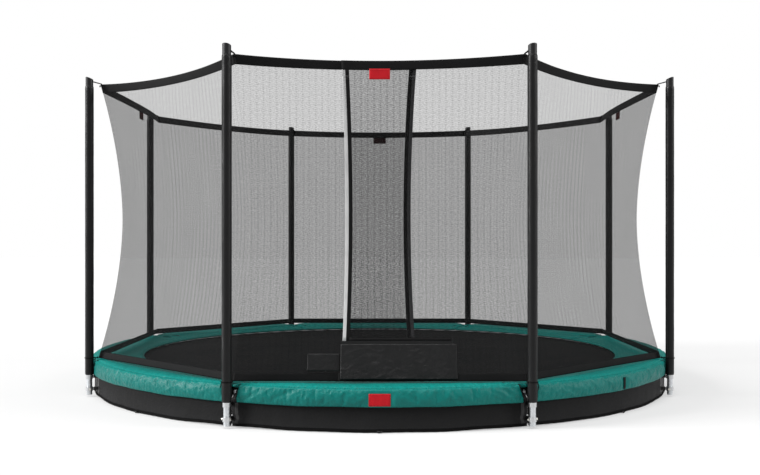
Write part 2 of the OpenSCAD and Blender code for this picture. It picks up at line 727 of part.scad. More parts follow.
// The sewn part of an entry sheet, from the fold line to its corner
module entry_sheet(side) {
    middle = flap_lines();
    inner_rows = [for (i = [1:len(middle) - 2]) middle[i]];
    rows = concat([net_foot_z, foot_band_z, sewn_z - strand_w, sewn_z], inner_rows,
        [flap_top_z + 2, top_band_z, net_top_z]);
    pts = [for (z = rows) let(
        w = half_width(front, z) - corner_gap,
        lines = sheet_lines(side, z)
    ) [for (x = side > 0 ? lines : [for (i = [len(lines) - 1:-1:0]) -lines[i]])
        net_point(front, x, z, side * layer * (1 - pow(max(0, side * x / w - 0.6) / 0.4, 2)))]];
    band_rows = len(rows) - 2;
    thick = [for (i = [0:len(rows) - 1]) i < 2 || i >= band_rows ? band_t : net_t];
    row_gap = [for (i = [0:len(rows) - 2]) i == 1 || (i >= 4 && i <= 2 * flap_rows + 2 && i % 2 == 0)];
    color(net_grey) grid_plate(front_az, pts, thick, bar_gaps(sheet_cols), row_gap);
}

// The wrinkled fabric threshold, its creased end, and the bottom band behind it
module entry_apron() {
    columns = 28;
    cloth_rows = 5;
    lap = 20;
    end_len = 174;
    foot = net_foot_z + 12;
    left = -edge_x(1, net_foot_z);
    right = root_x(1) + lap;
    front_off = layer + band_t / 2 + seat + apron_t / 2;
    color(black) {
        cloth([for (i = [0:columns]) lerp(left, right, i / columns)],
            [for (i = [0:cloth_rows]) lerp(foot, foot + apron_h, i / cloth_rows)], front_off, wrinkle);
        cloth([for (i = [0:8]) lerp(left - end_len, left - 6, i / 8)], [for (i = [0:3]) foot + 50 + 30 * i],
            3 * seat + apron_t / 2 - layer + band_t / 2, wrinkle / 2);
        grid_plate(front_az, [for (z = [net_foot_z, foot_band_z])
            [for (i = [0:4]) net_point(front, lerp(-root_x(-1) - lap, root_x(1) + lap, i / 4), z, 0)]],
            [band_t, band_t], [for (i = [0:3]) false], [false]);
    }
}

// A sheet of cloth on the front face whose wrinkles lean across it and fade at its right-hand end
module cloth(xs, zs, off, depth) {
    pts = [for (z = zs) [for (x = xs) let(
        fade = min(1, (xs[len(xs) - 1] - x) / 60),
        lean = 0.5 + 0.5 * sin(x * 1.9 + (z - zs[0]) * 1.1) * cos((z - zs[0]) * 0.7 - x * 0.35)
    ) net_point(front, x, z, off + depth * fade * lean)]];
    grid_plate(front_az, pts, [for (z = zs) apron_t],
        [for (i = [0:len(xs) - 2]) false], [for (i = [0:len(zs) - 2]) false]);
}

// Tie cords: a double strand from each cap to the net's top corner, and a loop round each pole
// that holds the net's foot
module net_ties() {
    loop_r = sleeve_d / 2 + seat + tie_d / 2;
    foot_knot = [corner_r(tie_foot_z) + knot_stand, 0, tie_foot_z];
    wrap_from = acos(loop_r / (pole_r - foot_knot.x));
    color(black) for (k = [1:sides]) at_az(pole_az(k)) {
        union() {
            translate(tie_knot_point()) sphere(d = knot_d, $fn = 24);
            for (s = [-1, 1]) let(
                out = tie_cap_point(s) - tie_knot_point(),
                dir = out / norm(out)
            ) rod(tie_knot_point(), tie_cap_point(s) + 4 * dir, tie_d);
        }
        union() {
            translate(foot_knot) sphere(d = knot_d, $fn = 24);
            translate([pole_r, 0, tie_foot_z]) rotate([0, 0, wrap_from - 180])
                rotate_extrude(angle = 360 - 2 * wrap_from, $fn = 48) translate([loop_r, 0]) circle(d = tie_d, $fn = 16);
            for (s = [-1, 1]) rod([pole_r, 0, tie_foot_z] + loop_r * [-cos(wrap_from), s * sin(wrap_from), 0],
                foot_knot, tie_d - 2 * slip);
        }
    }
}

// ---------- Trim ----------

// A point on the flat stretch of net between two of its lines
function on_net(j, x, z, off) = let(
    lines = j == front ? sheet_lines(1, z) : panel_lines(j, z),
    i = max([for (k = [0:len(lines) - 2]) lines[k] <= x ? k : 0])
) lerp(net_point(j, lines[i], z, off), net_point(j, lines[i + 1], z, off),
    (x - lines[i]) / (lines[i + 1] - lines[i]));

// Plain tags: one under the top band on each main face, one on the pad at the entry, and a pull strap
module sewn_tags() {
    tag_top_z = top_band_z + 6;
    rows = [for (i = [0:3]) tag_top_z - tag_h * (1 - i / 3)];
    columns = [for (i = [0:3]) tag_w * (i / 3 - 0.5)];
    strap_w = 20;
    strap_h = 66;
    strap_t = 2.4;
    for (j = [0:2:6]) color(red) grid_plate(face_az(j), [for (z = rows) [for (x = columns)
        on_net(j, x, z, (j == front ? layer : 0) + band_t / 2 + 3 * seat + tag_t / 2)]],
        [for (z = rows) tag_t], [for (i = [0:2]) false], [for (i = [0:2]) false]);
    half = tag_w / 2 / pad_outer_r * 180 / PI;
    color(red) swept(front_az - half, 2 * half) translate([pad_outer_r - tag_t, flange_foot_z + 6])
        square([tag_t, tag_h + 4]);
    strap_half = strap_w / 2 / pad_outer_r * 180 / PI;
    color(black) swept(face_az(7) - strap_half, 2 * strap_half)
        translate([pad_outer_r + seat, flange_foot_z + 7]) square([strap_t, strap_h]);
}

// The pad is pressed in under its tag, so that the tag lies flush
module tag_pocket() {
    half = (tag_w / 2 + seat) / pad_outer_r * 180 / PI;
    swept(front_az - half, 2 * half) translate([pad_outer_r - tag_t - seat, flange_foot_z + 6 - seat])
        square([tag_t + 2 * seat, tag_h + 4 + 2 * seat]);
}

frame_ring(1);  // frame_ring_1
frame_ring(2);  // frame_ring_2
frame_ring(3);  // frame_ring_3
frame_ring(4);  // frame_ring_4
frame_ring(5);  // frame_ring_5
frame_ring(6);  // frame_ring_6
frame_ring(7);  // frame_ring_7
frame_ring(8);  // frame_ring_8
base_ring(1);  // base_ring_1
base_ring(2);  // base_ring_2
base_ring(3);  // base_ring_3
base_ring(4);  // base_ring_4
frame_posts();
frame_sockets();
frame_bolts();
pole(1);  // pole_1
pole(2);  // pole_2
pole(3);  // pole_3
pole(4);  // pole_4
pole(5);  // pole_5
pole(6);  // pole_6
pole(7);  // pole_7
pole(8);  // pole_8
pole_sleeve(1);  // pole_sleeve_1
pole_sleeve(2);  // pole_sleeve_2
pole_sleeve(3);  // pole_sleeve_3
pole_sleeve(4);  // pole_sleeve_4
pole_sleeve(5);  // pole_sleeve_5
pole_sleeve(6);  // pole_sleeve_6
pole_sleeve(7);  // pole_sleeve_7
pole_sleeve(8);  // pole_sleeve_8
pole_caps();
pole_brackets();
skirt();
hem_toggles();
edge_pad(0);  // edge_pad_1
edge_pad(1);  // edge_pad_2
edge_pad(2);  // edge_pad_3
edge_pad(3);  // edge_pad_4
edge_pad(4);  // edge_pad_5
edge_pad(5);  // edge_pad_6
edge_pad(6);  // edge_pad_7
edge_pad(7);  // edge_pad_8
jumping_mat();
mat_rings();
springs();
net_panel(0);  // net_panel_1
net_panel(1);  // net_panel_2
net_panel(2);  // net_panel_3
net_panel(3);  // net_panel_4
net_panel(4);  // net_panel_5
net_panel(5);  // net_panel_6
net_panel(7);  // net_panel_7
entry_sheet(-1);  // net_front_left
entry_sheet(1);  // net_front_right
entry_flap(1);  // entry_flap_outer
entry_flap(-1);  // entry_flap_inner
entry_apron();
net_ties();
sewn_tags();
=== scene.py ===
"""Looks for the round trampoline with a waisted safety net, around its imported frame."""

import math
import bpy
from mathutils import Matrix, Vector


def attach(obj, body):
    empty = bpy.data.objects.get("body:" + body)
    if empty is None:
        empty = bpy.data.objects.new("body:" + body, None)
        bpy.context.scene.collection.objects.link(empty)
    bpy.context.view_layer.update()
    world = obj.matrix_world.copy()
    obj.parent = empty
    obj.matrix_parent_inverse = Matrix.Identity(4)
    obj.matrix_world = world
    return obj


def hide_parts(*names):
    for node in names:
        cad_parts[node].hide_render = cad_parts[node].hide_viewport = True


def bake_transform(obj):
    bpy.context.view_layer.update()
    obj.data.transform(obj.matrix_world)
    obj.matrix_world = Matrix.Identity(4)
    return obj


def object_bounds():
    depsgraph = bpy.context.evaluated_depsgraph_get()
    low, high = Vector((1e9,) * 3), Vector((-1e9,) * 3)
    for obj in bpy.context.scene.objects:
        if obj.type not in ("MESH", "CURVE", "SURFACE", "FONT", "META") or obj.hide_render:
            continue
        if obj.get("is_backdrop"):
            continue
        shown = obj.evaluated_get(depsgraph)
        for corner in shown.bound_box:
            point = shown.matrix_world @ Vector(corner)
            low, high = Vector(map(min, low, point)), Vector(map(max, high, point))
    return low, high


bl_info = {
    "name": "Round trampoline with safety net",
    "version": (1, 0, 0),
    "blender": (4, 5, 0),
    "location": "View3D > Sidebar > Trampoline",
    "description": "Sews, pads, springs and finishes a round trampoline around its frame",
    "category": "Object",
}

import bpy
import numpy as np
from mathutils import Matrix, Vector, noise

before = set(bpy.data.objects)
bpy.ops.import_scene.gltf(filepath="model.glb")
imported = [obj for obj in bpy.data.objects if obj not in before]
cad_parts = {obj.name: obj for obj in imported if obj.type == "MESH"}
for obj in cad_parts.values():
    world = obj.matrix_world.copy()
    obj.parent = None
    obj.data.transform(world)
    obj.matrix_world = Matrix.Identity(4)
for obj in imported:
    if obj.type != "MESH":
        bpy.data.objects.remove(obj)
CAD_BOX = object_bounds()

# All sizes are in metres, with Z up and the entry towards -Y
SIDES = 8
FRONT = 6
FACE_STEP = 45
WIDE_HALF, NARROW_HALF = 23.6, 21.4

# Frame and poles
FRAME_R = 1.865
RING_Z = 0.175
POLE_R = 1.970
SLEEVE_R = 0.026
SLEEVE_BORE = 0.0173
SLEEVE_Z = (0.136, 1.929)

# Mat, rings and springs
MAT_R = 1.640
MAT_HEM_R = MAT_R - 0.032
MAT_Z = 0.188
SPRINGS_PER_SECTION = 10
SPRING_COUNT = SIDES * SPRINGS_PER_SECTION
SPRING_STEP = math.tau / SPRING_COUNT
RING_BASE_R, RING_NOSE_R = 1.6428, 1.6728
RING_HALF_BASE, RING_HALF_NOSE = 0.0200, 0.0060
COIL_R = (1.6902, 1.8050)
COIL_HALF = 0.011
LOOP_R, LOOP_HALF = 1.67486, 0.0073
HOOK_PATH = ((1.830, 0), (1.8445, 0), (1.8505, -0.002), (1.8535, -0.008))
SPRINGS_PER_PIECE = 5

# Skirt and edge pads
SKIRT_R = 1.921
SKIRT_Z = (0.012, 0.150)
SKIRT_WRAP = 0.0286
SLIT_HALF = 0.0075
SLIT_SHUT = 0.0070
SLIT_OPEN_Z = ((0.031, 0.064), (0.158, 0.192))
PAD_TOP_Z = 0.2244
PAD_FOOT_Z = 0.1304
PAD_OUT_R = 1.9417
PAD_VOXEL = 0.006
PAD_ROLL_R = 1.9255
PAD_SEAM_R = 1.9240
PAD_EDGE = (1.622, 0.2132)
FLANGE_IN_R = 1.9223
NOTCH_TOP = 0.056
NOTCH_FOOT = 0.032
FILL_STEPS = 16
FILL_REACH = 0.009

# Net, flaps and threshold
NET_Z = (0.2364, 1.945)
WAIST_Z = 1.100
FOOT_R, WAIST_R, TOP_R = 1.915, 1.769, 1.903
BAND_FOOT_Z = 0.2774
BAND_TOP_Z = 1.893
TOP_BOW = 0.067
TOP_SAG = 0.025
LAYER = 0.0053
FLAP_Z = (0.442, 1.857)
FLAP_TOP_W = 0.050
OUTER_EDGE_X, INNER_EDGE_X = 0.183, 0.166
OUTER_ROOT_X, INNER_ROOT_X = 0.385, 0.196
THRESHOLD_X = 0.405
THRESHOLD_H = 0.178
THRESHOLD_TAIL = 0.174
TAG_W, TAG_H = 0.110, 0.061

# Patterns of the net's mesh, and the squared radii and the height that bound the painted shade, a flat
# black, on the brackets' arms and the bolts
NET_HOLE, NET_RIB, NET_KNOT = 0.0034, 0.0345, 0.0115
BRACKET_ZINC_R2 = 3.7815
BOLT_SHADE_R2, BOLT_SHADE_Z = 3.62, 0.15

# Camera: focal length and picture width in pixels, sensor in millimetres, place in metres
FOCAL_PIXELS, PICTURE_PIXELS, SENSOR = 955.5, 760, 36.0
CAMERA_SHIFT = (0.0005, 0.0037)
CAMERA_PLACE = (0, -6.733, 0.971)


# ---------- Numbers of the net ----------

def pole_angle(k):
    """Azimuth of pole k, 0 to 7, counted from +X."""
    return math.radians(FACE_STEP * k + WIDE_HALF if k % 2 == 0 else FACE_STEP * (k + 1) - WIDE_HALF)


def post_angle(k):
    """Azimuth of post k, half-way between two faces."""
    return math.radians(FACE_STEP * (k + 0.5))


def face_angle(j):
    """Azimuth of the middle of face j."""
    return math.radians(FACE_STEP * j)


def face_half(j):
    """Half the angle that face j spans: the even faces are the wide ones."""
    return math.radians(WIDE_HALF if j % 2 == 0 else NARROW_HALF)


def share_up(z):
    """0 at the net's waist and below it, 1 at its top."""
    return np.clip((z - WAIST_Z) / (NET_Z[1] - WAIST_Z), 0, None)


def corner_radius(z):
    """Distance from the axis to the net's corners at a height."""
    low = np.clip((WAIST_Z - z) / (WAIST_Z - NET_Z[0]), 0, None) ** 1.8
    high = share_up(z) ** 1.8
    return WAIST_R + np.where(z < WAIST_Z, (FOOT_R - WAIST_R) * low, (TOP_R - WAIST_R) * high)


def half_width(j, z):
    """Half of face j's width at a height."""
    return corner_radius(z) * math.sin(face_half(j))


def net_point(j, x, z, out=0.0):
    """Points of the net on face j: x across it, z up, out from it."""
    x, z = np.broadcast_arrays(np.asarray(x, float), np.asarray(z, float))
    swell = 1 - np.minimum(1, np.abs(x) / half_width(j, z)) ** 2
    rise = share_up(z) ** 3
    far = corner_radius(z) * math.cos(face_half(j)) - TOP_BOW * swell * rise + out
    c, s = math.cos(face_angle(j)), math.sin(face_angle(j))
    return np.stack([far * c - x * s, far * s + x * c, z - TOP_SAG * swell * rise], axis=-1)


def edge_x(side, z):
    """How far past the middle the outer (side 1) or inner (side -1) sheet's free edge lies."""
    spread = (0.020 if side > 0 else 0.032) * ((np.asarray(z) - WAIST_Z) / (NET_Z[1] - WAIST_Z)) ** 2
    return (OUTER_EDGE_X if side > 0 else INNER_EDGE_X) + spread


def fold_x(side, z):
    """Where a flap is sewn to its sheet."""
    root = OUTER_ROOT_X if side > 0 else INNER_ROOT_X
    top = FLAP_TOP_W - edge_x(side, FLAP_Z[1])
    return root + (top - root) * (np.clip(z, *FLAP_Z) - FLAP_Z[0]) / (FLAP_Z[1] - FLAP_Z[0])


def soft_step(low, high, x):
    """0 up to low, 1 from high on, with a smooth rise between; high may be the smaller one."""
    t = np.clip((np.asarray(x, float) - low) / (high - low), 0, 1)
    return t * t * (3 - 2 * t)


def rumple(points, scale, seed=0.0):
    """Smooth noise from -1 to 1 at each point."""
    shift = Vector((seed * 7.3, seed * 3.1, seed * 5.7))
    spots = (points * np.asarray(scale, float)).reshape(-1, 3)
    return np.array([noise.noise(Vector(p) + shift) for p in spots]).reshape(points.shape[:-1])


# ---------- Meshes ----------

def put(name, mesh):
    """A piece in the scene, with its place in its mesh."""
    piece = bpy.data.objects.new(name, mesh)
    bpy.context.scene.collection.objects.link(piece)
    return piece


def make_mesh(name, points, faces, materials, uv=None, slots=None):
    """A smooth mesh; slots holds each face's material number."""
    mesh = bpy.data.meshes.new(name)
    spots = np.asarray(points).reshape(-1, 3).tolist()
    mesh.from_pydata(spots, [], [tuple(int(i) for i in f) for f in faces])
    for material in materials:
        mesh.materials.append(material)
    if slots is not None:
        mesh.polygons.foreach_set("material_index", slots)
    mesh.polygons.foreach_set("use_smooth", [True] * len(mesh.polygons))
    if uv is not None:
        corner = np.zeros(len(mesh.loops), np.int32)
        mesh.loops.foreach_get("vertex_index", corner)
        layer = mesh.uv_layers.new(name="UVMap")
        layer.data.foreach_set("uv", np.asarray(uv, np.float32)[corner].ravel())
    mesh.update()
    return mesh


def grid_uv(p):
    """UVs in metres for a grid of points, counted from its middle and its foot."""
    along = np.zeros(p.shape[:2])
    up = np.zeros(p.shape[:2])
    along[:, 1:] = np.cumsum(np.linalg.norm(np.diff(p, axis=1), axis=2), axis=1)
    up[1:] = np.cumsum(np.linalg.norm(np.diff(p, axis=0), axis=2), axis=0)
    level = np.broadcast_to(up.mean(1, keepdims=True), up.shape)
    return np.stack([along - along[:, -1:] / 2, level], axis=-1).reshape(-1, 2)


def grid_faces(rows, cols, base=0, flip=False, wrap=False):
    """Four-sided faces of a grid of points; wrap closes it round."""
    r, c = np.meshgrid(np.arange(rows - 1), np.arange(cols if wrap else cols - 1), indexing="ij")
    a, b = (r * cols + c).ravel(), (r * cols + (c + 1) % cols).ravel()
    quads = np.stack([a, b, b + cols, a + cols], axis=1) + base
    return quads[:, ::-1] if flip else quads


def closing_faces(rows, cols):
    """Faces from the last ring of a wrapped grid back to its first."""
    last = (rows - 1) * cols
    return [(last + i, last + (i + 1) % cols, (i + 1) % cols, i) for i in range(cols)]


def grid_normals(p):
    """Unit normals of a grid of points, outwards for the net's and the skirt's rows."""
    across = np.gradient(p, axis=1)
    up = np.gradient(p, axis=0)
    n = np.cross(across, up)
    return n / np.maximum(np.linalg.norm(n, axis=2, keepdims=True), 1e-12)


def net_sheet(name, j, p):
    """One layer of net on face j, with UVs whose lines stand upright."""
    uv = turned(p, -face_angle(j))[..., 1:].reshape(-1, 2)
    return put(name, make_mesh(name, p, grid_faces(*p.shape[:2]), [MATERIALS["net"]], uv))


def slab_parts(p, thick, puff=0.0):
    """Points, faces and UVs of a closed layer of cloth with a real thickness, rounded at its rim."""
    rows, cols = p.shape[:2]
    normal = grid_normals(p)
    half = np.full((rows, cols, 1), thick / 2)
    r, c = np.meshgrid(np.linspace(-1, 1, rows), np.linspace(-1, 1, cols), indexing="ij")
    half[..., 0] += puff * (1 - np.abs(r) ** 4) * (1 - np.abs(c) ** 8)
    outer, inner = p + normal * half, p - normal * half
    n = rows * cols
    order = np.arange(n).reshape(rows, cols)
    rim = np.concatenate([order[0], order[1:, -1], order[-1, -2::-1], order[-2:0:-1, 0]])
    following = np.roll(rim, -1)
    faces = np.concatenate([
        grid_faces(rows, cols), grid_faces(rows, cols, n, flip=True),
        np.stack([rim, rim + n, following + n, following], axis=1),
    ])
    uv = grid_uv(p)
    return np.concatenate([outer.reshape(-1, 3), inner.reshape(-1, 3)]), faces, np.concatenate([uv, uv])


def line_lengths(p, axis):
    """Lengths of the lines of a grid of points, across it (1) or up it (0)."""
    return np.linalg.norm(np.diff(p, axis=axis), axis=2).sum(axis)


def flat_size(p):
    """The greatest lengths of a sheet's lines, across it and up it."""
    return float(line_lengths(p, 1).max()), float(line_lengths(p, 0).max())


def join_parts(name, parts, materials):
    """One piece from several (points, faces, uv, material number)."""
    points, faces, uvs, slots, base = [], [], [], [], 0
    for p, f, uv, slot in parts:
        points.append(np.asarray(p).reshape(-1, 3))
        faces += [tuple(int(i) + base for i in face) for face in f]
        uvs.append(uv)
        slots += [slot] * len(f)
        base += len(points[-1])
    mesh = make_mesh(name, np.concatenate(points), faces, materials, np.concatenate(uvs), slots)
    return put(name, mesh)


def slab(name, p, thick, material, puff=0.0):
    """A piece of cloth with a real thickness."""
    points, faces, uv = slab_parts(p, thick, puff)
    return put(name, make_mesh(name, points, faces, [material], uv))


def tube_parts(path, radius, sides=8, closed=False):
    """Points, faces and UVs of a round cord along a path."""
    path = np.asarray(path, float)
    n = len(path)
    radius = np.broadcast_to(np.asarray(radius, float), (n,))
    if closed:
        heading = np.roll(path, -1, axis=0) - np.roll(path, 1, axis=0)
    else:
        heading = np.gradient(path, axis=0)
    heading /= np.linalg.norm(heading, axis=1, keepdims=True)
    start = np.array([0, 0, 1.0]) if abs(heading[0][2]) < 0.9 else np.array([1.0, 0, 0])
    side = np.cross(heading[0], start)
    frames = []
    for t in heading:
        side = side - t * np.dot(side, t)
        side = side / np.linalg.norm(side)
        frames.append((side, np.cross(t, side)))
    turn = np.arange(sides) * math.tau / sides
    rings = np.array([
        path[i] + radius[i] * (np.outer(np.cos(turn), frames[i][0])
                               + np.outer(np.sin(turn), frames[i][1]))
        for i in range(n)
    ])
    length = np.concatenate([[0], np.cumsum(np.linalg.norm(np.diff(path, axis=0), axis=1))])
    across = turn[None, :] * radius.mean()
    uv = np.stack(np.broadcast_arrays(across, length[:, None]), axis=-1).reshape(-1, 2)
    faces = [tuple(f) for f in grid_faces(n, sides, wrap=True)]
    if closed:
        faces += closing_faces(n, sides)
    else:
        faces += [tuple(range(sides))[::-1], tuple((n - 1) * sides + i for i in range(sides))]
    return rings.reshape(-1, 3), faces, uv


def turned(p, angle):
    """Points turned round the frame's axis."""
    c, s = math.cos(angle), math.sin(angle)
    return np.asarray(p) @ np.array([[c, s, 0], [-s, c, 0], [0, 0, 1]])


def polar(r, a, z, turn=0.0):
    """Points from their distance to the axis, azimuth and height, turned round the frame."""
    return turned(np.stack(np.broadcast_arrays(r * np.cos(a), r * np.sin(a), z), axis=-1), turn)


# ---------- Repeats ----------

TREES = {}


def new_tree(name, inputs):
    """A node tree with named inputs for its sizes."""
    tree = bpy.data.node_groups.new(name, "GeometryNodeTree")
    tree.interface.new_socket(name="Geometry", in_out="INPUT", socket_type="NodeSocketGeometry")
    for label, kind, value in inputs:
        socket = tree.interface.new_socket(name=label, in_out="INPUT", socket_type=kind)
        if value is not None:
            socket.default_value = value
    tree.interface.new_socket(name="Geometry", in_out="OUTPUT", socket_type="NodeSocketGeometry")
    return tree


def tree_node(tree, kind, settings=None, values=None):
    """A node with its settings, then the values or links of its sockets."""
    node = tree.nodes.new(kind)
    for key, value in (settings or {}).items():
        setattr(node, key, value)
    for key, value in (values or {}).items():
        if isinstance(value, bpy.types.NodeSocket):
            tree.links.new(value, node.inputs[key])
        else:
            node.inputs[key].default_value = value
    return node


def finish_tree(tree, geometry, material):
    """Realize the copies, smooth them and give them their material."""
    real = tree_node(tree, "GeometryNodeRealizeInstances", None, {"Geometry": geometry})
    smooth = tree_node(tree, "GeometryNodeSetShadeSmooth", None, {0: real.outputs[0]})
    painted = tree_node(tree, "GeometryNodeSetMaterial", None,
                        {"Geometry": smooth.outputs[0], "Material": material})
    out = tree.nodes.new("NodeGroupOutput")
    tree.links.new(painted.outputs[0], out.inputs[0])


def ring_tree(swept):
    """Copies of one piece round the frame; a path is first swept into wire."""
    tree = new_tree("Wire round the frame" if swept else "Pieces round the frame", [
        ("Wire radius", "NodeSocketFloat", 0.002), ("Wire sides", "NodeSocketInt", 6),
        ("Count", "NodeSocketInt", 10), ("First angle", "NodeSocketFloat", 0.0),
        ("Angle step", "NodeSocketFloat", 0.1), ("Material", "NodeSocketMaterial", None),
    ])
    given = tree.nodes.new("NodeGroupInput").outputs
    shape = given["Geometry"]
    if swept:
        line = tree_node(tree, "GeometryNodeMeshToCurve", None, {"Mesh": shape})
        ring = tree_node(tree, "GeometryNodeCurvePrimitiveCircle", None,
                         {"Resolution": given["Wire sides"], "Radius": given["Wire radius"]})
        wire = tree_node(tree, "GeometryNodeCurveToMesh", None,
                         {"Curve": line.outputs[0], "Profile Curve": ring.outputs[0], "Fill Caps": True})
        shape = wire.outputs[0]
    index = tree_node(tree, "GeometryNodeInputIndex")
    turn = tree_node(tree, "ShaderNodeMath", {"operation": "MULTIPLY_ADD"},
                     {0: index.outputs[0], 1: given["Angle step"], 2: given["First angle"]})
    vector = tree_node(tree, "ShaderNodeCombineXYZ", None, {"Z": turn.outputs[0]})
    rotation = tree_node(tree, "FunctionNodeEulerToRotation", None, {0: vector.outputs[0]})
    points = tree_node(tree, "GeometryNodePoints", None, {"Count": given["Count"]})
    copies = tree_node(tree, "GeometryNodeInstanceOnPoints", None,
                       {"Points": points.outputs[0], "Instance": shape, "Rotation": rotation.outputs[0]})
    finish_tree(tree, copies.outputs[0], given["Material"])
    return tree


def stitch_tree():
    """A run of stitches along a path."""
    tree = new_tree("Stitches along a seam", [
        ("Spacing", "NodeSocketFloat", 0.012), ("Length", "NodeSocketFloat", 0.008),
        ("Thickness", "NodeSocketFloat", 0.0014), ("Material", "NodeSocketMaterial", None),
    ])
    given = tree.nodes.new("NodeGroupInput").outputs
    line = tree_node(tree, "GeometryNodeMeshToCurve", None, {"Mesh": given["Geometry"]})
    even = tree_node(tree, "GeometryNodeResampleCurve", {"mode": "LENGTH"},
                     {"Curve": line.outputs[0], "Length": given["Spacing"]})
    tangent = tree_node(tree, "GeometryNodeInputTangent")
    lie = tree_node(tree, "FunctionNodeAlignRotationToVector", {"axis": "Z"},
                    {"Vector": tangent.outputs[0]})
    ball = tree_node(tree, "GeometryNodeMeshUVSphere", None, {"Segments": 6, "Rings": 4, "Radius": 0.5})
    size = tree_node(tree, "ShaderNodeCombineXYZ", None,
                     {"X": given["Thickness"], "Y": given["Thickness"], "Z": given["Length"]})
    copies = tree_node(tree, "GeometryNodeInstanceOnPoints", None,
                       {"Points": even.outputs[0], "Instance": ball.outputs[0],
                        "Rotation": lie.outputs[0], "Scale": size.outputs[0]})
    finish_tree(tree, copies.outputs[0], given["Material"])
    return tree


def grow(name, points, links, tree, values):
    """Runs a tree on a mesh of points and links, and keeps the result as a plain piece."""
    mesh = bpy.data.meshes.new(name)
    edges = [] if len(links) and len(links[0]) > 2 else links
    mesh.from_pydata(np.asarray(points).reshape(-1, 3).tolist(), edges, [] if edges else links)
    carrier = put(name + "_seed", mesh)
    growth = carrier.modifiers.new("Grow", "NODES")
    growth.node_group = tree
    for item in tree.interface.items_tree:
        if item.item_type == "SOCKET" and item.in_out == "INPUT" and item.name in values:
            growth[item.identifier] = values[item.name]
    bpy.context.view_layer.update()
    graph = bpy.context.evaluated_depsgraph_get()
    grown = bpy.data.meshes.new_from_object(carrier.evaluated_get(graph))
    carrier.modifiers.remove(growth)
    bpy.data.objects.remove(carrier)
    bpy.data.meshes.remove(mesh)
    grown.name = name
    return put(name, grown)


def paths_to_links(paths):
    """All paths in one list of points, with the links between neighbours."""
    points, links, base = [], [], 0
    for path in paths:
        points += [tuple(p) for p in path]
        links += [(base + i, base + i + 1) for i in range(len(path) - 1)]
        base += len(path)
    return points, links


def stitches(name, paths, material, body="frame", spacing=0.014, length=0.009, thick=0.0016):
    """Stitches along some paths, which ride on a body."""
    points, links = paths_to_links(paths)
    piece = grow(name, points, links, TREES["stitch"],
                 {"Spacing": spacing, "Length": length, "Thickness": thick, "Material": material})
    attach(piece, body)
    return piece


# ---------- Materials ----------

ZINC = (0.72, 0.71, 0.66)
# Flat black painted as shade on the parts that sit in the dark under the pads
PAINTED_SHADE_BLACK = (0.007, 0.007, 0.0075, 1)
MATERIALS = {}


class Term:
    """A number that varies over a surface."""

    def __init__(self, bench, socket):
        self.bench, self.socket = bench, socket

    def __add__(self, other):
        return self.bench.math("ADD", self, other)

    def __sub__(self, other):
        return self.bench.math("SUBTRACT", self, other)

    def __rsub__(self, other):
        return self.bench.math("SUBTRACT", other, self)

    def __mul__(self, other):
        return self.bench.math("MULTIPLY", self, other)

    def __pow__(self, other):
        return self.bench.math("POWER", self, other)

    __radd__ = __add__
    __rmul__ = __mul__


class Bench:
    """A material's nodes, with its shader's constants set on the shader's own sockets."""

    def __init__(self, name, colour, rough, **constants):
        self.material = bpy.data.materials.new(name)
        self.material.use_nodes = True
        self.tree = self.material.node_tree
        self.shader = next(n for n in self.tree.nodes if n.type == "BSDF_PRINCIPLED")
        self.shader.inputs["Base Color"].default_value = (*colour, 1)
        self.shader.inputs["Roughness"].default_value = rough
        for key, value in constants.items():
            self.shader.inputs[key.replace("_", " ")].default_value = value
        self.colour = (*colour, 1)
        self.material.diffuse_color = self.colour

    def node(self, kind, settings=None, values=None, out=0):
        node = self.tree.nodes.new(kind)
        for key, value in (settings or {}).items():
            setattr(node, key, value)
        for key, value in (values or {}).items():
            self.feed(node.inputs[key], value)
        return Term(self, node.outputs[out])

    def feed(self, socket, value):
        if isinstance(value, Term):
            self.tree.links.new(value.socket, socket)
        else:
            socket.default_value = value

    def math(self, operation, *values):
        return self.node("ShaderNodeMath", {"operation": operation}, dict(enumerate(values)))

    def clamp(self, value):
        return self.node("ShaderNodeClamp", None, {0: value})

    def place(self, kind="Object", scale=(1, 1, 1)):
        spot = self.node("ShaderNodeTexCoord", None, None, kind)
        return self.node("ShaderNodeMapping", None, {"Vector": spot, "Scale": scale})

    def noise(self, at, scale, detail=3.0, rough=0.5, twist=0.0):
        return self.node("ShaderNodeTexNoise", None, {
            "Vector": at, "Scale": scale, "Detail": detail, "Roughness": rough, "Distortion": twist})

    def parts(self, at):
        split = self.node("ShaderNodeSeparateXYZ", None, {0: at})
        return [Term(self, split.socket.node.outputs[i]) for i in range(3)]

    def wave(self, value, pitch):
        """From 0 to 1 and back over each pitch."""
        return self.math("SINE", value * (math.tau / pitch)) * 0.5 + 0.5

    def blend(self, share, a, b):
        return self.node("ShaderNodeMix", {"data_type": "RGBA"}, {0: share, 6: a, 7: b}, 2)

    def shade(self, amount, dark=0.75, light=1.2):
        """Base colour that runs from darker to lighter with amount."""
        low = tuple(c * dark for c in self.colour[:3]) + (1,)
        high = tuple(min(1, c * light) for c in self.colour[:3]) + (1,)
        self.paint(self.blend(amount, low, high))

    def paint(self, colour):
        self.feed(self.shader.inputs["Base Color"], colour)

    def set(self, **sockets):
        for key, value in sockets.items():
            self.feed(self.shader.inputs[key], value)

    def bump(self, height, distance, strength=1.0):
        self.set(Normal=self.node("ShaderNodeBump", None,
                                  {"Height": height, "Distance": distance, "Strength": strength}))


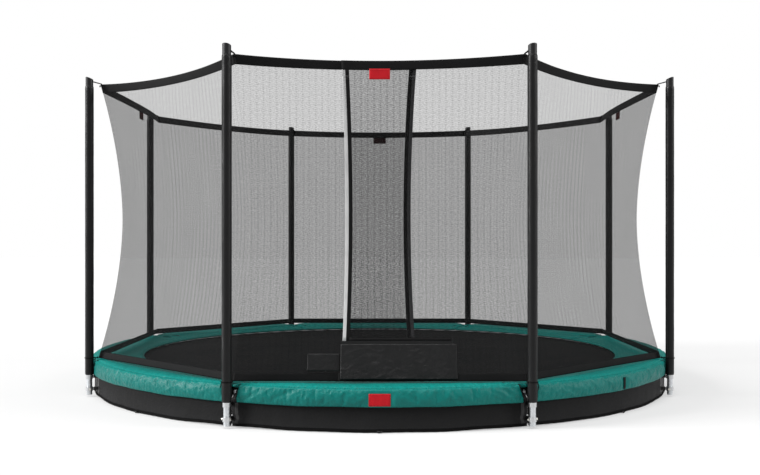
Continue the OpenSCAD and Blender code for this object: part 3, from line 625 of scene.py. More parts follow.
def galvanised(name, colour, rough, scale):
    """Hot-dip zinc: small crystals, faint streaks along the tube."""
    b = Bench(name, colour, rough, Metallic=1.0)
    at = b.place()
    crystal = b.node("ShaderNodeTexVoronoi", None, {"Vector": at, "Scale": scale}, "Color")
    grey = b.node("ShaderNodeRGBToBW", None, {0: crystal})
    streak = b.noise(b.place("Object", (90, 90, 5)), 1.0, 4)
    b.shade(b.clamp(grey * 0.45 + streak * 0.55), 0.72, 1.16)
    b.set(Roughness=b.clamp(grey * 0.14 + streak * 0.18 + (rough - 0.12)))
    b.bump(streak * 0.6 + grey * 0.4, 0.0004, 0.35)
    return b.material


def coated_cloth(name, colour, rough, pitch, crease=1.0, specular=0.3, tones=(0.85, 1.15), painted_light=None):
    """Woven polyester under a plastic coat: fine weave, soft creases and scuffs. painted_light holds the
    height of the plain colour, the height where the painted light is full, and how much lighter that
    painted light makes the colour."""
    b = Bench(name, colour, rough, Specular_IOR_Level=specular)
    at = b.place()
    soft = b.noise(at, 6.0, 4, 0.55, 0.6)
    crumple = b.noise(at, 26.0, 5, 0.6, 1.4)
    fine = b.noise(at, 420.0, 2)
    x, y, z = b.parts(at)
    weave = b.wave(x + y, pitch) * b.wave(z + (x - y) * 0.5, pitch)
    amount = b.clamp(soft * 0.6 + crumple * 0.5 - 0.05)

    def tone(lift):
        return b.blend(amount, *(tuple(c * t * lift for c in colour) + (1,) for t in tones))

    # painted light: the colour runs from plain to lighter between two heights
    if painted_light:
        plain, pale, lift = painted_light
        b.paint(b.blend(b.clamp((z - plain) * (1 / (pale - plain))), tone(1), tone(lift)))
    else:
        b.shade(amount, *tones)
    b.set(Roughness=b.clamp(crumple * 0.16 + fine * 0.1 + (rough - 0.13)))
    b.bump(crumple * crease + soft * (0.8 * crease) + weave * 0.05 + fine * 0.04, 0.006, 0.6)
    return b.material


def webbing(name, colour, rough, pitch=0.0022, specular=0.25):
    """Flat woven band: ribs across its width, on the piece's own UV."""
    b = Bench(name, colour, rough, Specular_IOR_Level=specular)
    at = b.place("UV")
    u, v, _ = b.parts(at)
    rib = b.wave(u, pitch) * 0.6 + b.wave(v + b.wave(u, pitch) * (pitch * 0.4), pitch * 0.75) * 0.4
    wear = b.noise(at, 9.0, 4)
    b.shade(b.clamp(rib * 0.4 + wear * 0.6), 0.6, 1.5)
    b.bump(rib, 0.0006, 0.5)
    return b.material


def black_plastic():
    """Moulded plastic of the caps and toggles, with a fine grain."""
    b = Bench("black_plastic", (0.0080, 0.0080, 0.0085), 0.38, Specular_IOR_Level=0.3)
    at = b.place()
    grain = b.noise(at, 900.0, 2)
    cloud = b.noise(at, 30.0, 3)
    b.shade(b.clamp(cloud), 0.8, 1.35)
    b.set(Roughness=b.clamp(grain * 0.15 + 0.33))
    b.bump(grain, 0.0003, 0.4)
    return b.material


def bracket_zinc_and_painted_shade():
    """Zinc round the pole; the arms further in get painted shade, a flat black."""
    b = Bench("pole_bracket", (0.60, 0.61, 0.62), 0.38)
    at = b.place()
    x, y, _ = b.parts(at)
    collar = b.clamp((x * x + y * y - BRACKET_ZINC_R2) * 60.0)
    grain = b.noise(at, 260.0, 3)
    steel = b.blend(grain, (0.46, 0.47, 0.48, 1), (0.70, 0.71, 0.72, 1))
    b.paint(b.blend(collar, PAINTED_SHADE_BLACK, steel))
    b.set(Metallic=collar, Roughness=b.clamp(grain * 0.16 + 0.30))
    b.bump(grain, 0.0003, 0.3)
    return b.material


def bolts_zinc_and_painted_shade():
    """Zinc screws, with painted shade, a flat black, on those high up and far out."""
    b = Bench("bolts", ZINC, 0.30)
    at = b.place()
    x, y, z = b.parts(at)
    # painted shade: the bolts under the pads are made flat black
    shaded_spot = b.clamp((z - BOLT_SHADE_Z) * 200.0) * b.clamp((x * x + y * y - BOLT_SHADE_R2) * 60.0)
    b.paint(b.blend(shaded_spot, (*ZINC, 1), PAINTED_SHADE_BLACK))
    b.set(Metallic=b.clamp(1 - shaded_spot), Roughness=b.clamp(b.noise(at, 320.0, 3) * 0.16 + 0.22))
    return b.material


def mat_weave(colour):
    """Woven tapes of the jumping mat."""
    b = Bench("mat_weave", tuple(colour), 0.60, Specular_IOR_Level=0.08)
    at = b.place()
    x, y, _ = b.parts(at)
    tape = b.wave(x, 0.0036) * 0.5 + b.wave(y, 0.0028) * 0.5
    lattice = b.wave(x + y, 0.0052)
    cloud = b.noise(at, 2.2, 5, 0.6)
    b.shade(b.clamp(tape * 0.35 + lattice * 0.15 + cloud * 0.5), 0.7, 1.35)
    b.set(Roughness=b.clamp(cloud * 0.2 + tape * 0.1 + 0.46))
    b.bump(tape, 0.0008, 0.35)
    return b.material


def sewing_thread():
    """Dark thread of the seams."""
    b = Bench("thread", (0.014, 0.014, 0.015), 0.5, Specular_IOR_Level=0.2)
    at = b.place()
    b.shade(b.noise(at, 700.0, 2), 0.6, 1.6)
    b.bump(b.noise(at, 1500.0, 1), 0.0003, 0.4)
    return b.material


def pad_thread(colour):
    """Thread a little darker than the pads' cover."""
    b = Bench("pad_thread", tuple(c * 0.75 for c in colour), 0.45, Specular_IOR_Level=0.2)
    b.shade(b.noise(b.place(), 700.0, 2), 0.6, 1.5)
    return b.material


def build_materials(looks):
    """Every finish by its short name."""
    return {
        "tube": galvanised("galvanised_tube", (0.66, 0.68, 0.70), 0.36, 95.0),
        "casting": galvanised("galvanised_socket", (0.58, 0.60, 0.62), 0.44, 140.0),
        "zinc": galvanised("zinc_fasteners", ZINC, 0.30, 320.0),
        "spring": galvanised("spring_steel", (0.52, 0.54, 0.56), 0.33, 300.0),
        "sleeve": coated_cloth("sleeve_foam_cover", (0.0048, 0.0048, 0.0051), 0.36, 0.0016, 0.30, 0.22),
        # The skirt's colour is 1.8 times lighter towards its foot: painted light from the floor
        "skirt": coated_cloth("skirt_fabric", (0.0080, 0.0080, 0.0082), 0.60, 0.0020, 0.8, 0.07,
                              painted_light=(0.13, 0.02, 1.8)),
        "skirt_tape": coated_cloth("skirt_end_tape", (0.030, 0.030, 0.030), 0.42, 0.0030, 0.3, 0.25),
        # The pad's colour is 1.38 times lighter on its top, above 0.212 m: a painted highlight
        "pad": coated_cloth("pad_cover", tuple(looks.pad_colour), 0.38, 0.0018, 1.2, 0.16,
                            (0.80, 1.20), (0.212, 0.228, 1.38)),
        "apron": coated_cloth("apron_fabric", (0.0080, 0.0080, 0.0083), 0.38, 0.0020, 0.9, 0.26),
        "band": webbing("black_webbing", (0.0052, 0.0052, 0.0054), 0.62, specular=0.08),
        # grey_band is the white strip's counterpart on the inner sheet, darkened as painted shade
        "grey_band": webbing("grey_webbing", (0.050, 0.050, 0.052), 0.66, specular=0.1),
        "white_band": webbing("white_piping", (0.48, 0.48, 0.48), 0.55, 0.0014, 0.2),
        "tag": webbing("red_tag", (0.40, 0.0042, 0.010), 0.50, 0.0011, 0.15),
        "dark_tag": webbing("dark_red_tag", (0.055, 0.004, 0.004), 0.55, 0.0011, 0.1),
        "cord": webbing("tie_cord", (0.003, 0.003, 0.003), 0.7, 0.0035, 0.05),
        "net": netting("net_mesh", looks.net_cover),
        "plastic": black_plastic(),
        "bracket": bracket_zinc_and_painted_shade(),
        "bolt": bolts_zinc_and_painted_shade(),
        "mat": mat_weave(looks.mat_colour),
        "thread": sewing_thread(),
        "pad_thread": pad_thread(looks.pad_colour),
    }


def netting(name, cover):
    """Fine knotted mesh: its holes are in the alpha, with upright ribs of denser knots."""
    b = Bench(name, (0.012, 0.012, 0.0122), 0.85, Specular_IOR_Level=0.02)
    at = b.place("UV")
    u, v, _ = b.parts(at)
    left, right = (b.math("ABSOLUTE", b.math("SINE", (u + v * lean) * (math.pi / NET_HOLE)))
                   for lean in (0.6, -0.6))
    holes = b.math("MINIMUM", left, right)
    drift = b.noise(b.place("UV", (2, 0.8, 1)), 1.0, 2) * 0.006
    rib = b.wave(u + drift, NET_RIB)
    ribs = rib ** 6.0
    dots = b.wave(v + rib * 0.006, NET_KNOT)
    dash = b.noise(b.place("UV", (110, 95, 1)), 1.0, 2, 0.6)
    streak = b.noise(b.place("UV", (38, 1.8, 1)), 1.0, 3, 0.6)
    cloud = b.noise(at, 3.0, 2)
    alpha = (0.58 - holes) * 0.24 + ribs * (dots * 0.13) + (dots - 0.5) * 0.06 + (dash - 0.5) * 0.44
    b.set(Alpha=b.clamp(alpha + (streak - 0.5) * 0.05 + (cloud - 0.5) * 0.04 + cover))
    b.shade(b.clamp(ribs * 0.5 + streak * 0.5), 0.7, 1.5)
    return b.material


# ---------- Properties ----------

class TrampolineLooks(bpy.types.PropertyGroup):
    pad_colour: bpy.props.FloatVectorProperty(
        name="Pad colour", description="Colour of the edge pad's cover", subtype="COLOR",
        default=(0.0014, 0.128, 0.112), min=0, max=1)
    mat_colour: bpy.props.FloatVectorProperty(
        name="Mat colour", description="Colour of the woven mat", subtype="COLOR",
        default=(0.0046, 0.0046, 0.0048), min=0, max=1)
    net_cover: bpy.props.FloatProperty(
        name="Net cover", description="Share of the net that its threads fill", subtype="FACTOR",
        default=0.39, min=0.1, max=0.9)


class TrampolineSizes(bpy.types.PropertyGroup):
    spring_turns: bpy.props.IntProperty(
        name="Spring turns", description="Turns of wire in each spring", default=24, min=8, max=40)
    spring_wire: bpy.props.FloatProperty(
        name="Spring wire", description="Radius of the spring wire", default=0.0018,
        min=0.001, max=0.003, unit="LENGTH")
    pad_crease: bpy.props.FloatProperty(
        name="Pad creases", description="Depth of the creases in the pad's cover", default=0.0080,
        min=0, max=0.014, unit="LENGTH")
    stitch_pitch: bpy.props.FloatProperty(
        name="Stitch spacing", description="Distance from stitch to stitch on the mat", default=0.014,
        min=0.006, max=0.03, unit="LENGTH")


class TrampolineStage(bpy.types.PropertyGroup):
    floor_size: bpy.props.FloatProperty(
        name="Floor size", description="Width of the pale floor", default=90,
        min=10, max=200, unit="LENGTH")
    sky_light: bpy.props.FloatProperty(
        name="Sky light", description="Strength of the even light from all round", default=0.30,
        min=0, max=2)
    top_light: bpy.props.FloatProperty(
        name="Top light", description="Strength of the wide soft light from above", default=2.0,
        min=0, max=8)
    side_light: bpy.props.FloatProperty(
        name="Side lights", description="Strength of the left light, of which the right has a share",
        default=4.4, min=0, max=8)


# ---------- Pieces ----------

class TRAMPOLINE_OT_metal(bpy.types.Operator):
    """Finish the frame, poles, brackets, bolts and caps."""
    bl_idname = "trampoline.metal"
    bl_label = "Frame and poles"

    def execute(self, context):
        finishes = {
            "frame_ring": "tube", "base_ring": "tube", "frame_posts": "tube", "frame_sockets": "casting",
            "frame_bolts": "bolt", "pole_caps": "plastic", "pole_brackets": "bracket",
            "hem_toggles": "plastic", "pole_": "tube"}
        for name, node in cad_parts.items():
            for start, finish in finishes.items():
                if name.startswith(start) and not name.startswith("pole_sleeve"):
                    node.data.materials.clear()
                    node.data.materials.append(MATERIALS[finish])
                    break
        return {"FINISHED"}


class TRAMPOLINE_OT_sleeves(bpy.types.Operator):
    """Make the foam sleeves with their stitched covers."""
    bl_idname = "trampoline.sleeves"
    bl_label = "Pole sleeves"

    def execute(self, context):
        sides, rows = 40, 150
        low, high = SLEEVE_Z
        for k in range(SIDES):
            z = np.concatenate([[low, low + 0.0015], np.linspace(low + 0.004, high - 0.004, rows),
                                [high - 0.0015, high]])
            ends = np.minimum(z - low, high - z)
            radius = SLEEVE_R - 0.0026 * (1 - soft_step(0, 0.006, ends))
            radius -= 0.0011 * np.exp(-((ends - 0.022) / 0.0025) ** 2)
            turn = np.arange(sides) * math.tau / sides
            a, h = np.meshgrid(turn, z)
            spots = polar(1, a, h)
            uneven = 0.0005 * rumple(spots, (1.2, 1.2, 9), k) + 0.0003 * rumple(spots, (3, 3, 40), k + 9)
            r = radius[:, None] + uneven
            seam = np.exp(-((np.mod(a - math.pi / 2 + math.pi, math.tau) - math.pi) / 0.10) ** 2)
            mouths = [polar(SLEEVE_BORE, turn, end)[None] for end in SLEEVE_Z]
            p = np.concatenate([mouths[0], polar(r - 0.0009 * seam, a, h), mouths[1]])
            p = turned(p + [POLE_R, 0, 0], pole_angle(k))
            level = np.concatenate([[low], z, [high]])[:, None]
            uv = np.stack(np.broadcast_arrays(turn[None, :] * SLEEVE_R, level), axis=-1).reshape(-1, 2)
            total = len(p)
            faces = [tuple(f) for f in grid_faces(total, sides, wrap=True)]
            faces += closing_faces(total, sides)
            name = f"sleeve_{k + 1}"
            piece = put(name, make_mesh(name, p, faces, [MATERIALS["sleeve"]], uv))
            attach(piece, "frame")
            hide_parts(f"pole_sleeve_{k + 1}")
            rise, circle = np.linspace(low + 0.012, high - 0.012, 60), np.linspace(0, math.tau, 49)
            seams = [polar(SLEEVE_R + 0.0002, math.pi / 2 + side * 0.16, rise) for side in (-1, 1)]
            seams += [polar(SLEEVE_R, circle, h) for h in (low + 0.022, high - 0.022)]
            paths = [turned(line + [POLE_R, 0, 0], pole_angle(k)) for line in seams]
            stitches(f"sleeve_stitches_{k + 1}", paths, MATERIALS["thread"],
                     spacing=0.016, length=0.008, thick=0.0011)
        return {"FINISHED"}


class TRAMPOLINE_OT_mat(bpy.types.Operator):
    """Make the jumping mat with its hem, ring tabs and stitching."""
    bl_idname = "trampoline.mat"
    bl_label = "Jumping mat"

    def execute(self, context):
        around = 320
        hem_in = MAT_HEM_R
        radii = np.concatenate([np.linspace(0.02, hem_in - 0.002, 26),
                                [hem_in, hem_in + 0.003, MAT_R - 0.004, MAT_R]])
        turn = np.arange(around) * math.tau / around
        lift = np.where(radii < hem_in, 0.001, 0.0025)
        lift[-1] = 0.0015
        a, r = np.meshgrid(turn, radii)
        swell = 0.0009 * np.cos(a * SPRING_COUNT) * soft_step(hem_in, MAT_R, r)
        top = polar(r + swell, a, MAT_Z + lift[:, None])
        bottom = top.copy()
        bottom[..., 2] = 2 * MAT_Z - top[..., 2]
        rows, n = len(radii), len(radii) * around
        faces = [tuple(f) for f in grid_faces(rows, around, wrap=True, flip=True)]
        faces += [tuple(f) for f in grid_faces(rows, around, n, wrap=True)]
        edge = (rows - 1) * around
        following = [(i + 1) % around for i in range(around)]
        faces += [(edge + i, edge + n + i, edge + n + k, edge + k) for i, k in enumerate(following)]
        centre = 2 * n
        points = np.concatenate([top.reshape(-1, 3), bottom.reshape(-1, 3),
                                 [[0, 0, MAT_Z + 0.001], [0, 0, MAT_Z - 0.001]]])
        faces += [(centre, i, k) for i, k in enumerate(following)]
        faces += [(centre + 1, n + k, n + i) for i, k in enumerate(following)]
        cloth = make_mesh("mat_cloth", points, faces, [MATERIALS["mat"]], points[:, :2])
        cloth = put("mat_cloth", cloth)
        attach(cloth, "mat")
        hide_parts("jumping_mat")

        round_mat = {"Count": SPRING_COUNT, "First angle": SPRING_STEP / 2 + post_angle(0),
                     "Angle step": SPRING_STEP}
        tabs = grow("mat_tabs", *self.tab(hem_in - 0.012, MAT_R + 0.004), TREES["solid"],
                    {**round_mat, "Material": MATERIALS["band"]})
        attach(tabs, "mat")
        circle = np.linspace(0, math.tau, 721)
        seams = [polar(r, circle, MAT_Z + 0.0028) for r in (hem_in + 0.004, MAT_R - 0.006)]
        pitch = context.scene.trampoline_sizes.stitch_pitch
        stitches("mat_stitches", seams, MATERIALS["thread"], "mat", pitch)

        corners = [(RING_BASE_R, -RING_HALF_BASE), (RING_NOSE_R, -RING_HALF_NOSE),
                   (RING_NOSE_R, RING_HALF_NOSE), (RING_BASE_R, RING_HALF_BASE)]
        wire = [(x, y, MAT_Z) for x, y in rounded_loop(corners, 0.0045)]
        links = [(i, (i + 1) % len(wire)) for i in range(len(wire))]
        rings = grow("mat_rings_wire", wire, links, TREES["wire"], {
            **round_mat, "Wire radius": 0.0025, "Wire sides": 10, "Material": MATERIALS["zinc"]})
        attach(rings, "mat")
        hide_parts("mat_rings")
        return {"FINISHED"}

    def tab(self, inner, outer):
        """A webbing tab folded round a ring's base, as one closed strip."""
        half = 0.0165
        over = [(inner, 0.0036), (outer - 0.006, 0.0036), (outer - 0.0015, 0.0034),
                (outer + 0.0008, 0.0018)]
        path = over + [(outer + 0.0014, 0)] + [(x, -z) for x, z in reversed(over)]
        inside = [(inner, -0.0027), (outer - 0.0075, -0.0027), (outer - 0.0075, 0.0027), (inner, 0.0027)]
        section = path + inside
        points = [(x, y, MAT_Z + z) for y in (-half, half) for x, z in section]
        n = len(section)
        faces = [(i, (i + 1) % n, n + (i + 1) % n, n + i) for i in range(n)]
        bend, last = len(over), len(path)
        ends = [(*range(bend + 1), last + 2, last + 3), (*range(bend, last), last, last + 1),
                (bend, last + 1, last + 2)]
        faces += [end[::-1] for end in ends]
        faces += [tuple(i + n for i in end) for end in ends]
        return points, faces


def rounded_loop(corners, radius, steps=5):
    """A closed outline with rounded corners."""
    points = []
    for i, corner in enumerate(corners):
        c = np.array(corner, float)
        a = np.array(corners[i - 1], float) - c
        b = np.array(corners[(i + 1) % len(corners)], float) - c
        reach = min(radius, 0.45 * np.linalg.norm(a), 0.45 * np.linalg.norm(b))
        start, end = c + a / np.linalg.norm(a) * reach, c + b / np.linalg.norm(b) * reach
        for t in np.linspace(0, 1, steps):
            points.append(tuple((1 - t) ** 2 * start + 2 * t * (1 - t) * c + t * t * end))
    return points


class TRAMPOLINE_OT_springs(bpy.types.Operator):
    """Wind the springs between the mat and the frame."""
    bl_idname = "trampoline.springs"
    bl_label = "Springs"

    def execute(self, context):
        sizes = context.scene.trampoline_sizes
        wire, turns = sizes.spring_wire, sizes.spring_turns
        coil_in, coil_out = COIL_R
        path = [(LOOP_R + LOOP_HALF * math.cos(t), 0, MAT_Z + LOOP_HALF * math.sin(t))
                for t in np.linspace(-0.55, -0.55 - 1.62 * math.pi, 22)]
        for s in np.linspace(0, 1, turns * 10 + 1):
            t = s * turns * math.tau
            grip = soft_step(0, 0.05, s) * soft_step(0, 0.05, 1 - s)
            r = (COIL_HALF - wire) * (0.25 + 0.75 * float(grip))
            path.append((coil_in + s * (coil_out - coil_in), r * math.cos(t), MAT_Z + r * math.sin(t)))
        path += [(coil_out + 0.006, 0, MAT_Z)] + [(r, 0, MAT_Z + drop) for r, drop in HOOK_PATH]
        links = [(i, i + 1) for i in range(len(path) - 1)]
        for g in range(SPRING_COUNT // SPRINGS_PER_PIECE):
            first = post_angle(0) + SPRING_STEP * (g * SPRINGS_PER_PIECE + 0.5)
            coils = grow(f"spring_coils_{g + 1}", path, links, TREES["wire"], {
                "Wire radius": wire, "Wire sides": 5, "Count": SPRINGS_PER_PIECE, "First angle": first,
                "Angle step": SPRING_STEP, "Material": MATERIALS["spring"]})
            out = polar(1, first + SPRING_STEP * (SPRINGS_PER_PIECE - 1) / 2, 0)
            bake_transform(coils)
            if g == 0:
                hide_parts("springs")
        return {"FINISHED"}


class TRAMPOLINE_OT_skirt(bpy.types.Operator):
    """Hang the skirt with its cord hem."""
    bl_idname = "trampoline.skirt"
    bl_label = "Skirt"

    def execute(self, context):
        cols, hung_rows = 90, 16
        quarter = np.linspace(0, math.pi / 2, 8)
        wrap_r, wrap_z = FRAME_R + SKIRT_WRAP * np.cos(quarter), RING_Z + SKIRT_WRAP * np.sin(quarter)
        profile_r = np.concatenate([np.full(hung_rows, SKIRT_R), wrap_r])
        profile_z = np.concatenate([np.linspace(*SKIRT_Z, hung_rows), wrap_z])
        for j in range(SIDES):
            gap = SLIT_HALF / SKIRT_R
            angles = np.linspace(-face_half(j) + gap, face_half(j) - gap, cols)
            to_end = face_half(j) - np.abs(angles)
            a, r = np.meshgrid(angles, profile_r)
            z = np.broadcast_to(profile_z[:, None], a.shape)
            # The slit between two sections is open only where the brackets' arms pass
            opened = np.any([(z >= low) & (z <= high) for low, high in SLIT_OPEN_Z], axis=0)
            shut = np.where(opened, 0.0, SLIT_SHUT / SKIRT_R)
            a = a + np.sign(a) * shut * soft_step(0.05, 0.0, face_half(j) - np.abs(a))
            spots = polar(1, a + face_angle(j), z)
            free = soft_step(0.150, 0.060, z)
            fold = 0.0035 * rumple(spots, (9, 9, 3), 21) + 0.0016 * rumple(spots, (30, 30, 8), 22)
            lift = 0.004 * soft_step(0.24, 0.05, to_end) + 0.0012 * (1 + np.sin(angles * 31 + j))
            z = z + soft_step(0.060, 0.020, z) * lift
            near_pole = soft_step(0.07, 0.0, face_half(j) - np.abs(a))
            taped = (to_end * SKIRT_R > 0.014) & (to_end * SKIRT_R < 0.056)
            r = r + free * (fold + 0.002 * near_pole * np.sin(z * 90))
            p = polar(r, a, z, face_angle(j))
            points, faces, uv = slab_parts(p, 0.0016)
            hem_r = r[0]
            hem_thick = np.minimum(0.0070 + 0.0004 * np.sin(np.arange(cols) * 1.9), 0.0072)
            cord = tube_parts(polar(hem_r, angles, lift + 0.0074, face_angle(j)), hem_thick, 12)
            t = np.linspace(0, math.tau, 30)
            bulge = 0.0042 * (2 + np.cos(3 * t))
            knot = np.stack([SKIRT_R + 0.0125 + bulge * np.cos(t) / 2,
                             bulge * np.sin(2 * t) + 0.004 * (j % 3),
                             0.0072 + 0.003 * np.sin(3 * t)], axis=1)
            tie = tube_parts(turned(knot, face_angle(j)), 0.0026, 7)
            name = f"skirt_cloth_{j + 1}"
            skirt = join_parts(name, [(points, faces, uv, 0), (*cord, 2), (*tie, 2)],
                               [MATERIALS["skirt"], MATERIALS["skirt_tape"], MATERIALS["cord"]])
            for row in range(hung_rows - 1):
                for col in np.nonzero(taped[:-1] & taped[1:])[0]:
                    skirt.data.polygons[row * (cols - 1) + int(col)].material_index = 1
            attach(skirt, "frame")
            if j == 0:
                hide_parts("skirt")
            length, height = line_lengths(p, 1)[0], line_lengths(p, 0)[0]
            seam = polar(hem_r + 0.0012, angles, lift + 0.0205, face_angle(j))
            stitches(f"skirt_stitches_{j + 1}", [seam], MATERIALS["thread"])
        return {"FINISHED"}


class TRAMPOLINE_OT_pads(bpy.types.Operator):
    """Sew the foam edge pads, with their creased covers, seams and piping."""
    bl_idname = "trampoline.pads"
    bl_label = "Edge pads"

    def execute(self, context):
        depth = context.scene.trampoline_sizes.pad_crease
        covers = {}
        for j in (FRONT, FRONT + 1):
            mesh = remeshed(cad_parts[f"edge_pad_{j + 1}"], PAD_VOXEL)
            mesh.transform(Matrix.Rotation(-face_angle(j), 4, "Z"))
            covers[j % 2] = mesh, self.fill(mesh, face_half(j))
        for j in range(SIDES):
            node = f"edge_pad_{j + 1}"
            mesh, shift = covers[j % 2][0].copy(), covers[j % 2][1]
            p = mesh_values(mesh, "co")
            p = turned(p + shift * self.calm(j, p)[:, None], face_angle(j))
            mesh.vertices.foreach_set("co", p.ravel())
            mesh.update()
            n = mesh_values(mesh, "normal")
            p = p + n * self.creases(j, p, n, depth)[:, None]
            sag = 0.0040 * self.along(turned(p, -face_angle(j))[:, 1], 0, 0, (5, 1, 1), j + 3)
            low = soft_step(0.165, 0.130, p[:, 2]) * soft_step(1.917, 1.927, np.hypot(p[:, 0], p[:, 1]))
            p[:, 2] += low * sag
            mesh.vertices.foreach_set("co", p.ravel())
            mesh.materials.clear()
            mesh.materials.append(MATERIALS["pad"])
            mesh.polygons.foreach_set("use_smooth", [True] * len(mesh.polygons))
            mesh.update()
            pad = put(f"pad_{j + 1}", mesh)
            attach(pad, "frame")
            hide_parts(node)
        self.trim()
        return {"FINISHED"}

    def along(self, x, y, z, scale, seed):
        """Smooth noise over three coordinates of a cover's points."""
        return rumple(np.stack(np.broadcast_arrays(x, y, z), axis=-1), scale, seed)

    def fill(self, mesh, half):
        """How far a short cloth simulation fills out a cover, held along its seams and where it rests."""
        p = mesh_values(mesh, "co")
        n = mesh_values(mesh, "normal")
        r = np.hypot(p[:, 0], p[:, 1])
        to_end = (half - np.abs(np.arctan2(p[:, 1], p[:, 0]))) * r
        top = p[:, 2] > PAD_TOP_Z - 0.004
        held = (r < PAD_EDGE[0]) | (to_end < 0.009) | (p[:, 2] < PAD_FOOT_Z + 0.005) | (n[:, 2] < -0.4)
        held |= (np.abs(r - PAD_ROLL_R) < 0.004) & top
        cover = put("pad_cover", mesh)
        cover.vertex_groups.new(name="seams").add([int(i) for i in np.nonzero(held)[0]], 1.0, "REPLACE")
        cloth = cover.modifiers.new("Cloth", "CLOTH")
        for key, value in dict(quality=3, mass=0.25, bending_stiffness=4.0, use_pressure=True,
                               uniform_pressure_force=4, shrink_min=-0.016,
                               vertex_group_mass="seams").items():
            setattr(cloth.settings, key, value)
        cloth.settings.effector_weights.gravity = 0
        cloth.point_cache.frame_end = FILL_STEPS
        for step in range(1, FILL_STEPS + 1):
            bpy.context.scene.frame_set(step)
        filled = cover.evaluated_get(bpy.context.evaluated_depsgraph_get())
        shift = mesh_values(filled.to_mesh(), "co") - p
        filled.to_mesh_clear()
        bpy.context.scene.frame_set(1)
        far = np.linalg.norm(shift, axis=1, keepdims=True)
        print("pad cover filled:", len(p), "points, moved up to", round(float(far.max()), 4))
        shift *= np.minimum(1, FILL_REACH / np.maximum(far, 1e-9))
        shift[:, 2] = np.minimum(shift[:, 2], np.where(r < 1.80, 0.003, 0.006))
        cover.modifiers.clear()
        cover.vertex_groups.clear()
        bpy.data.objects.remove(cover)
        return shift

    def calm(self, j, local):
        """0 where a tag or strap lies flat on the cover's hanging side, 1 elsewhere."""
        reach = {FRONT: (0.055, 0.085), FRONT + 1: (0.015, 0.045)}.get(j)
        if reach is None:
            return np.ones(len(local))
        hanging = soft_step(1.920, 1.932, np.hypot(local[:, 0], local[:, 1]))
        return 1 - hanging * (1 - soft_step(*reach, np.abs(local[:, 1])))

    def creases(self, j, p, n, depth):
        """How far each point of a pad's cover stands out or in."""
        local = turned(p, -face_angle(j))
        x, z = local[:, 1], p[:, 2]
        r = np.hypot(p[:, 0], p[:, 1])
        flange = soft_step(1.912, 1.934, r)
        to_end = r * face_half(j) - np.abs(np.arctan2(x, local[:, 0])) * r
        near_notch = np.exp(-np.maximum(0, to_end - 0.05) / 0.15)
        slant = np.sign(x) * z * 1.5
        bend = 0.05 * self.along(x, z, 0, (4, 6, 1), 71 + j)
        drag = 1 - np.abs(self.along(x + slant + bend, z, j, (15, 7, 1), 31 + j)) * 2.6
        cross = 1 - np.abs(self.along(x - slant + bend, z, 0, (11, 9, 1), 36 + j)) * 2.6
        broad = self.along(x, z, r, (6, 9, 5), 41 + j)
        fine = self.along(x, z, r, (46, 34, 24), 51 + j)
        pucker = self.along(x, 0, 0, (75, 1, 1), 56 + j)
        puff = self.along(x, r, z, (6, 12, 1), 61 + j)
        at_seam = np.exp(-np.maximum(0, PAD_TOP_Z - 0.010 - z) / 0.018)
        hanging = (0.62 * drag * (0.30 + near_notch) + 0.40 * cross * (1 - near_notch) + 0.60 * broad
                   + 0.22 * fine + 0.30 * pucker * at_seam)
        out = flange * depth * hanging * self.calm(j, local)
        net_r = FOOT_R * math.cos(face_half(j)) / np.maximum(0.5, local[:, 0] / r)
        share = np.clip((r - net_r - 0.012) / (1.936 - net_r), 0, 1)
        crown = 0.0075 * np.sin(math.pi * share) ** 0.8
        top, low = np.clip(n[:, 2], 0, 1), np.clip(-n[:, 2], 0, 1)
        out += top * (1 - flange) * (crown + np.minimum(depth * (0.30 * puff + 0.12 * fine), 0.0024))
        seam = np.exp(-(to_end / 0.010) ** 2) * 0.004
        roll = np.exp(-((r - PAD_ROLL_R) / 0.0045) ** 2) * top * 0.0030
        return (out * (1 - low)) * np.where(r < 1.922, 1, 0.9) - seam * (1 - low) - roll - 0.0006

    def trim(self):
        """Black piping round each gap, seam ridges and stitching."""
        fall = np.linspace(0, 1, 12)
        foot_z = PAD_FOOT_Z + 0.004
        piping, seams = [], []
        for k in range(SIDES):
            for side in (-1, 1):
                path = [(r, side * NOTCH_TOP, PAD_TOP_Z + 0.0008 + (r - 1.90) * 0.012)
                        for r in np.linspace(1.735, 1.9215, 12)]
                path += [(PAD_OUT_R - 0.0147 + 0.0125 * math.sin(t), side * NOTCH_TOP,
                          PAD_TOP_Z - 0.0125 + 0.0135 * math.cos(t)) for t in np.linspace(0.1, 1.5, 7)]
                path += [(PAD_OUT_R + 0.0010, side * (NOTCH_TOP + (NOTCH_FOOT - NOTCH_TOP) * s),
                          PAD_TOP_Z - 0.014 + (foot_z - PAD_TOP_Z + 0.014) * s) for s in fall]
                path += [(PAD_OUT_R - 0.006, side * NOTCH_FOOT, PAD_FOOT_Z - 0.0005),
                         (FLANGE_IN_R + 0.002, side * NOTCH_FOOT, PAD_FOOT_Z + 0.002)]
                piping.append((*tube_parts(turned(path, pole_angle(k)), 0.0030, 8), 0))
        pipes = join_parts("pad_piping", piping, [MATERIALS["band"]])
        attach(pipes, "frame")
        for j in range(SIDES):
            for r, z, short in ((PAD_SEAM_R, PAD_TOP_Z + 0.0004, 0.026), (*PAD_EDGE, 0.006)):
                reach = face_half(j) - short
                seams.append(polar(r, np.linspace(-reach, reach, 120), z, face_angle(j)))
        stitches("pad_stitches", seams, MATERIALS["pad_thread"],
                 spacing=0.012, length=0.008, thick=0.0016)


def mesh_values(mesh, key):
    """A mesh's point values as rows of three."""
    values = np.zeros(len(mesh.vertices) * 3)
    mesh.vertices.foreach_get(key, values)
    return values.reshape(-1, 3)


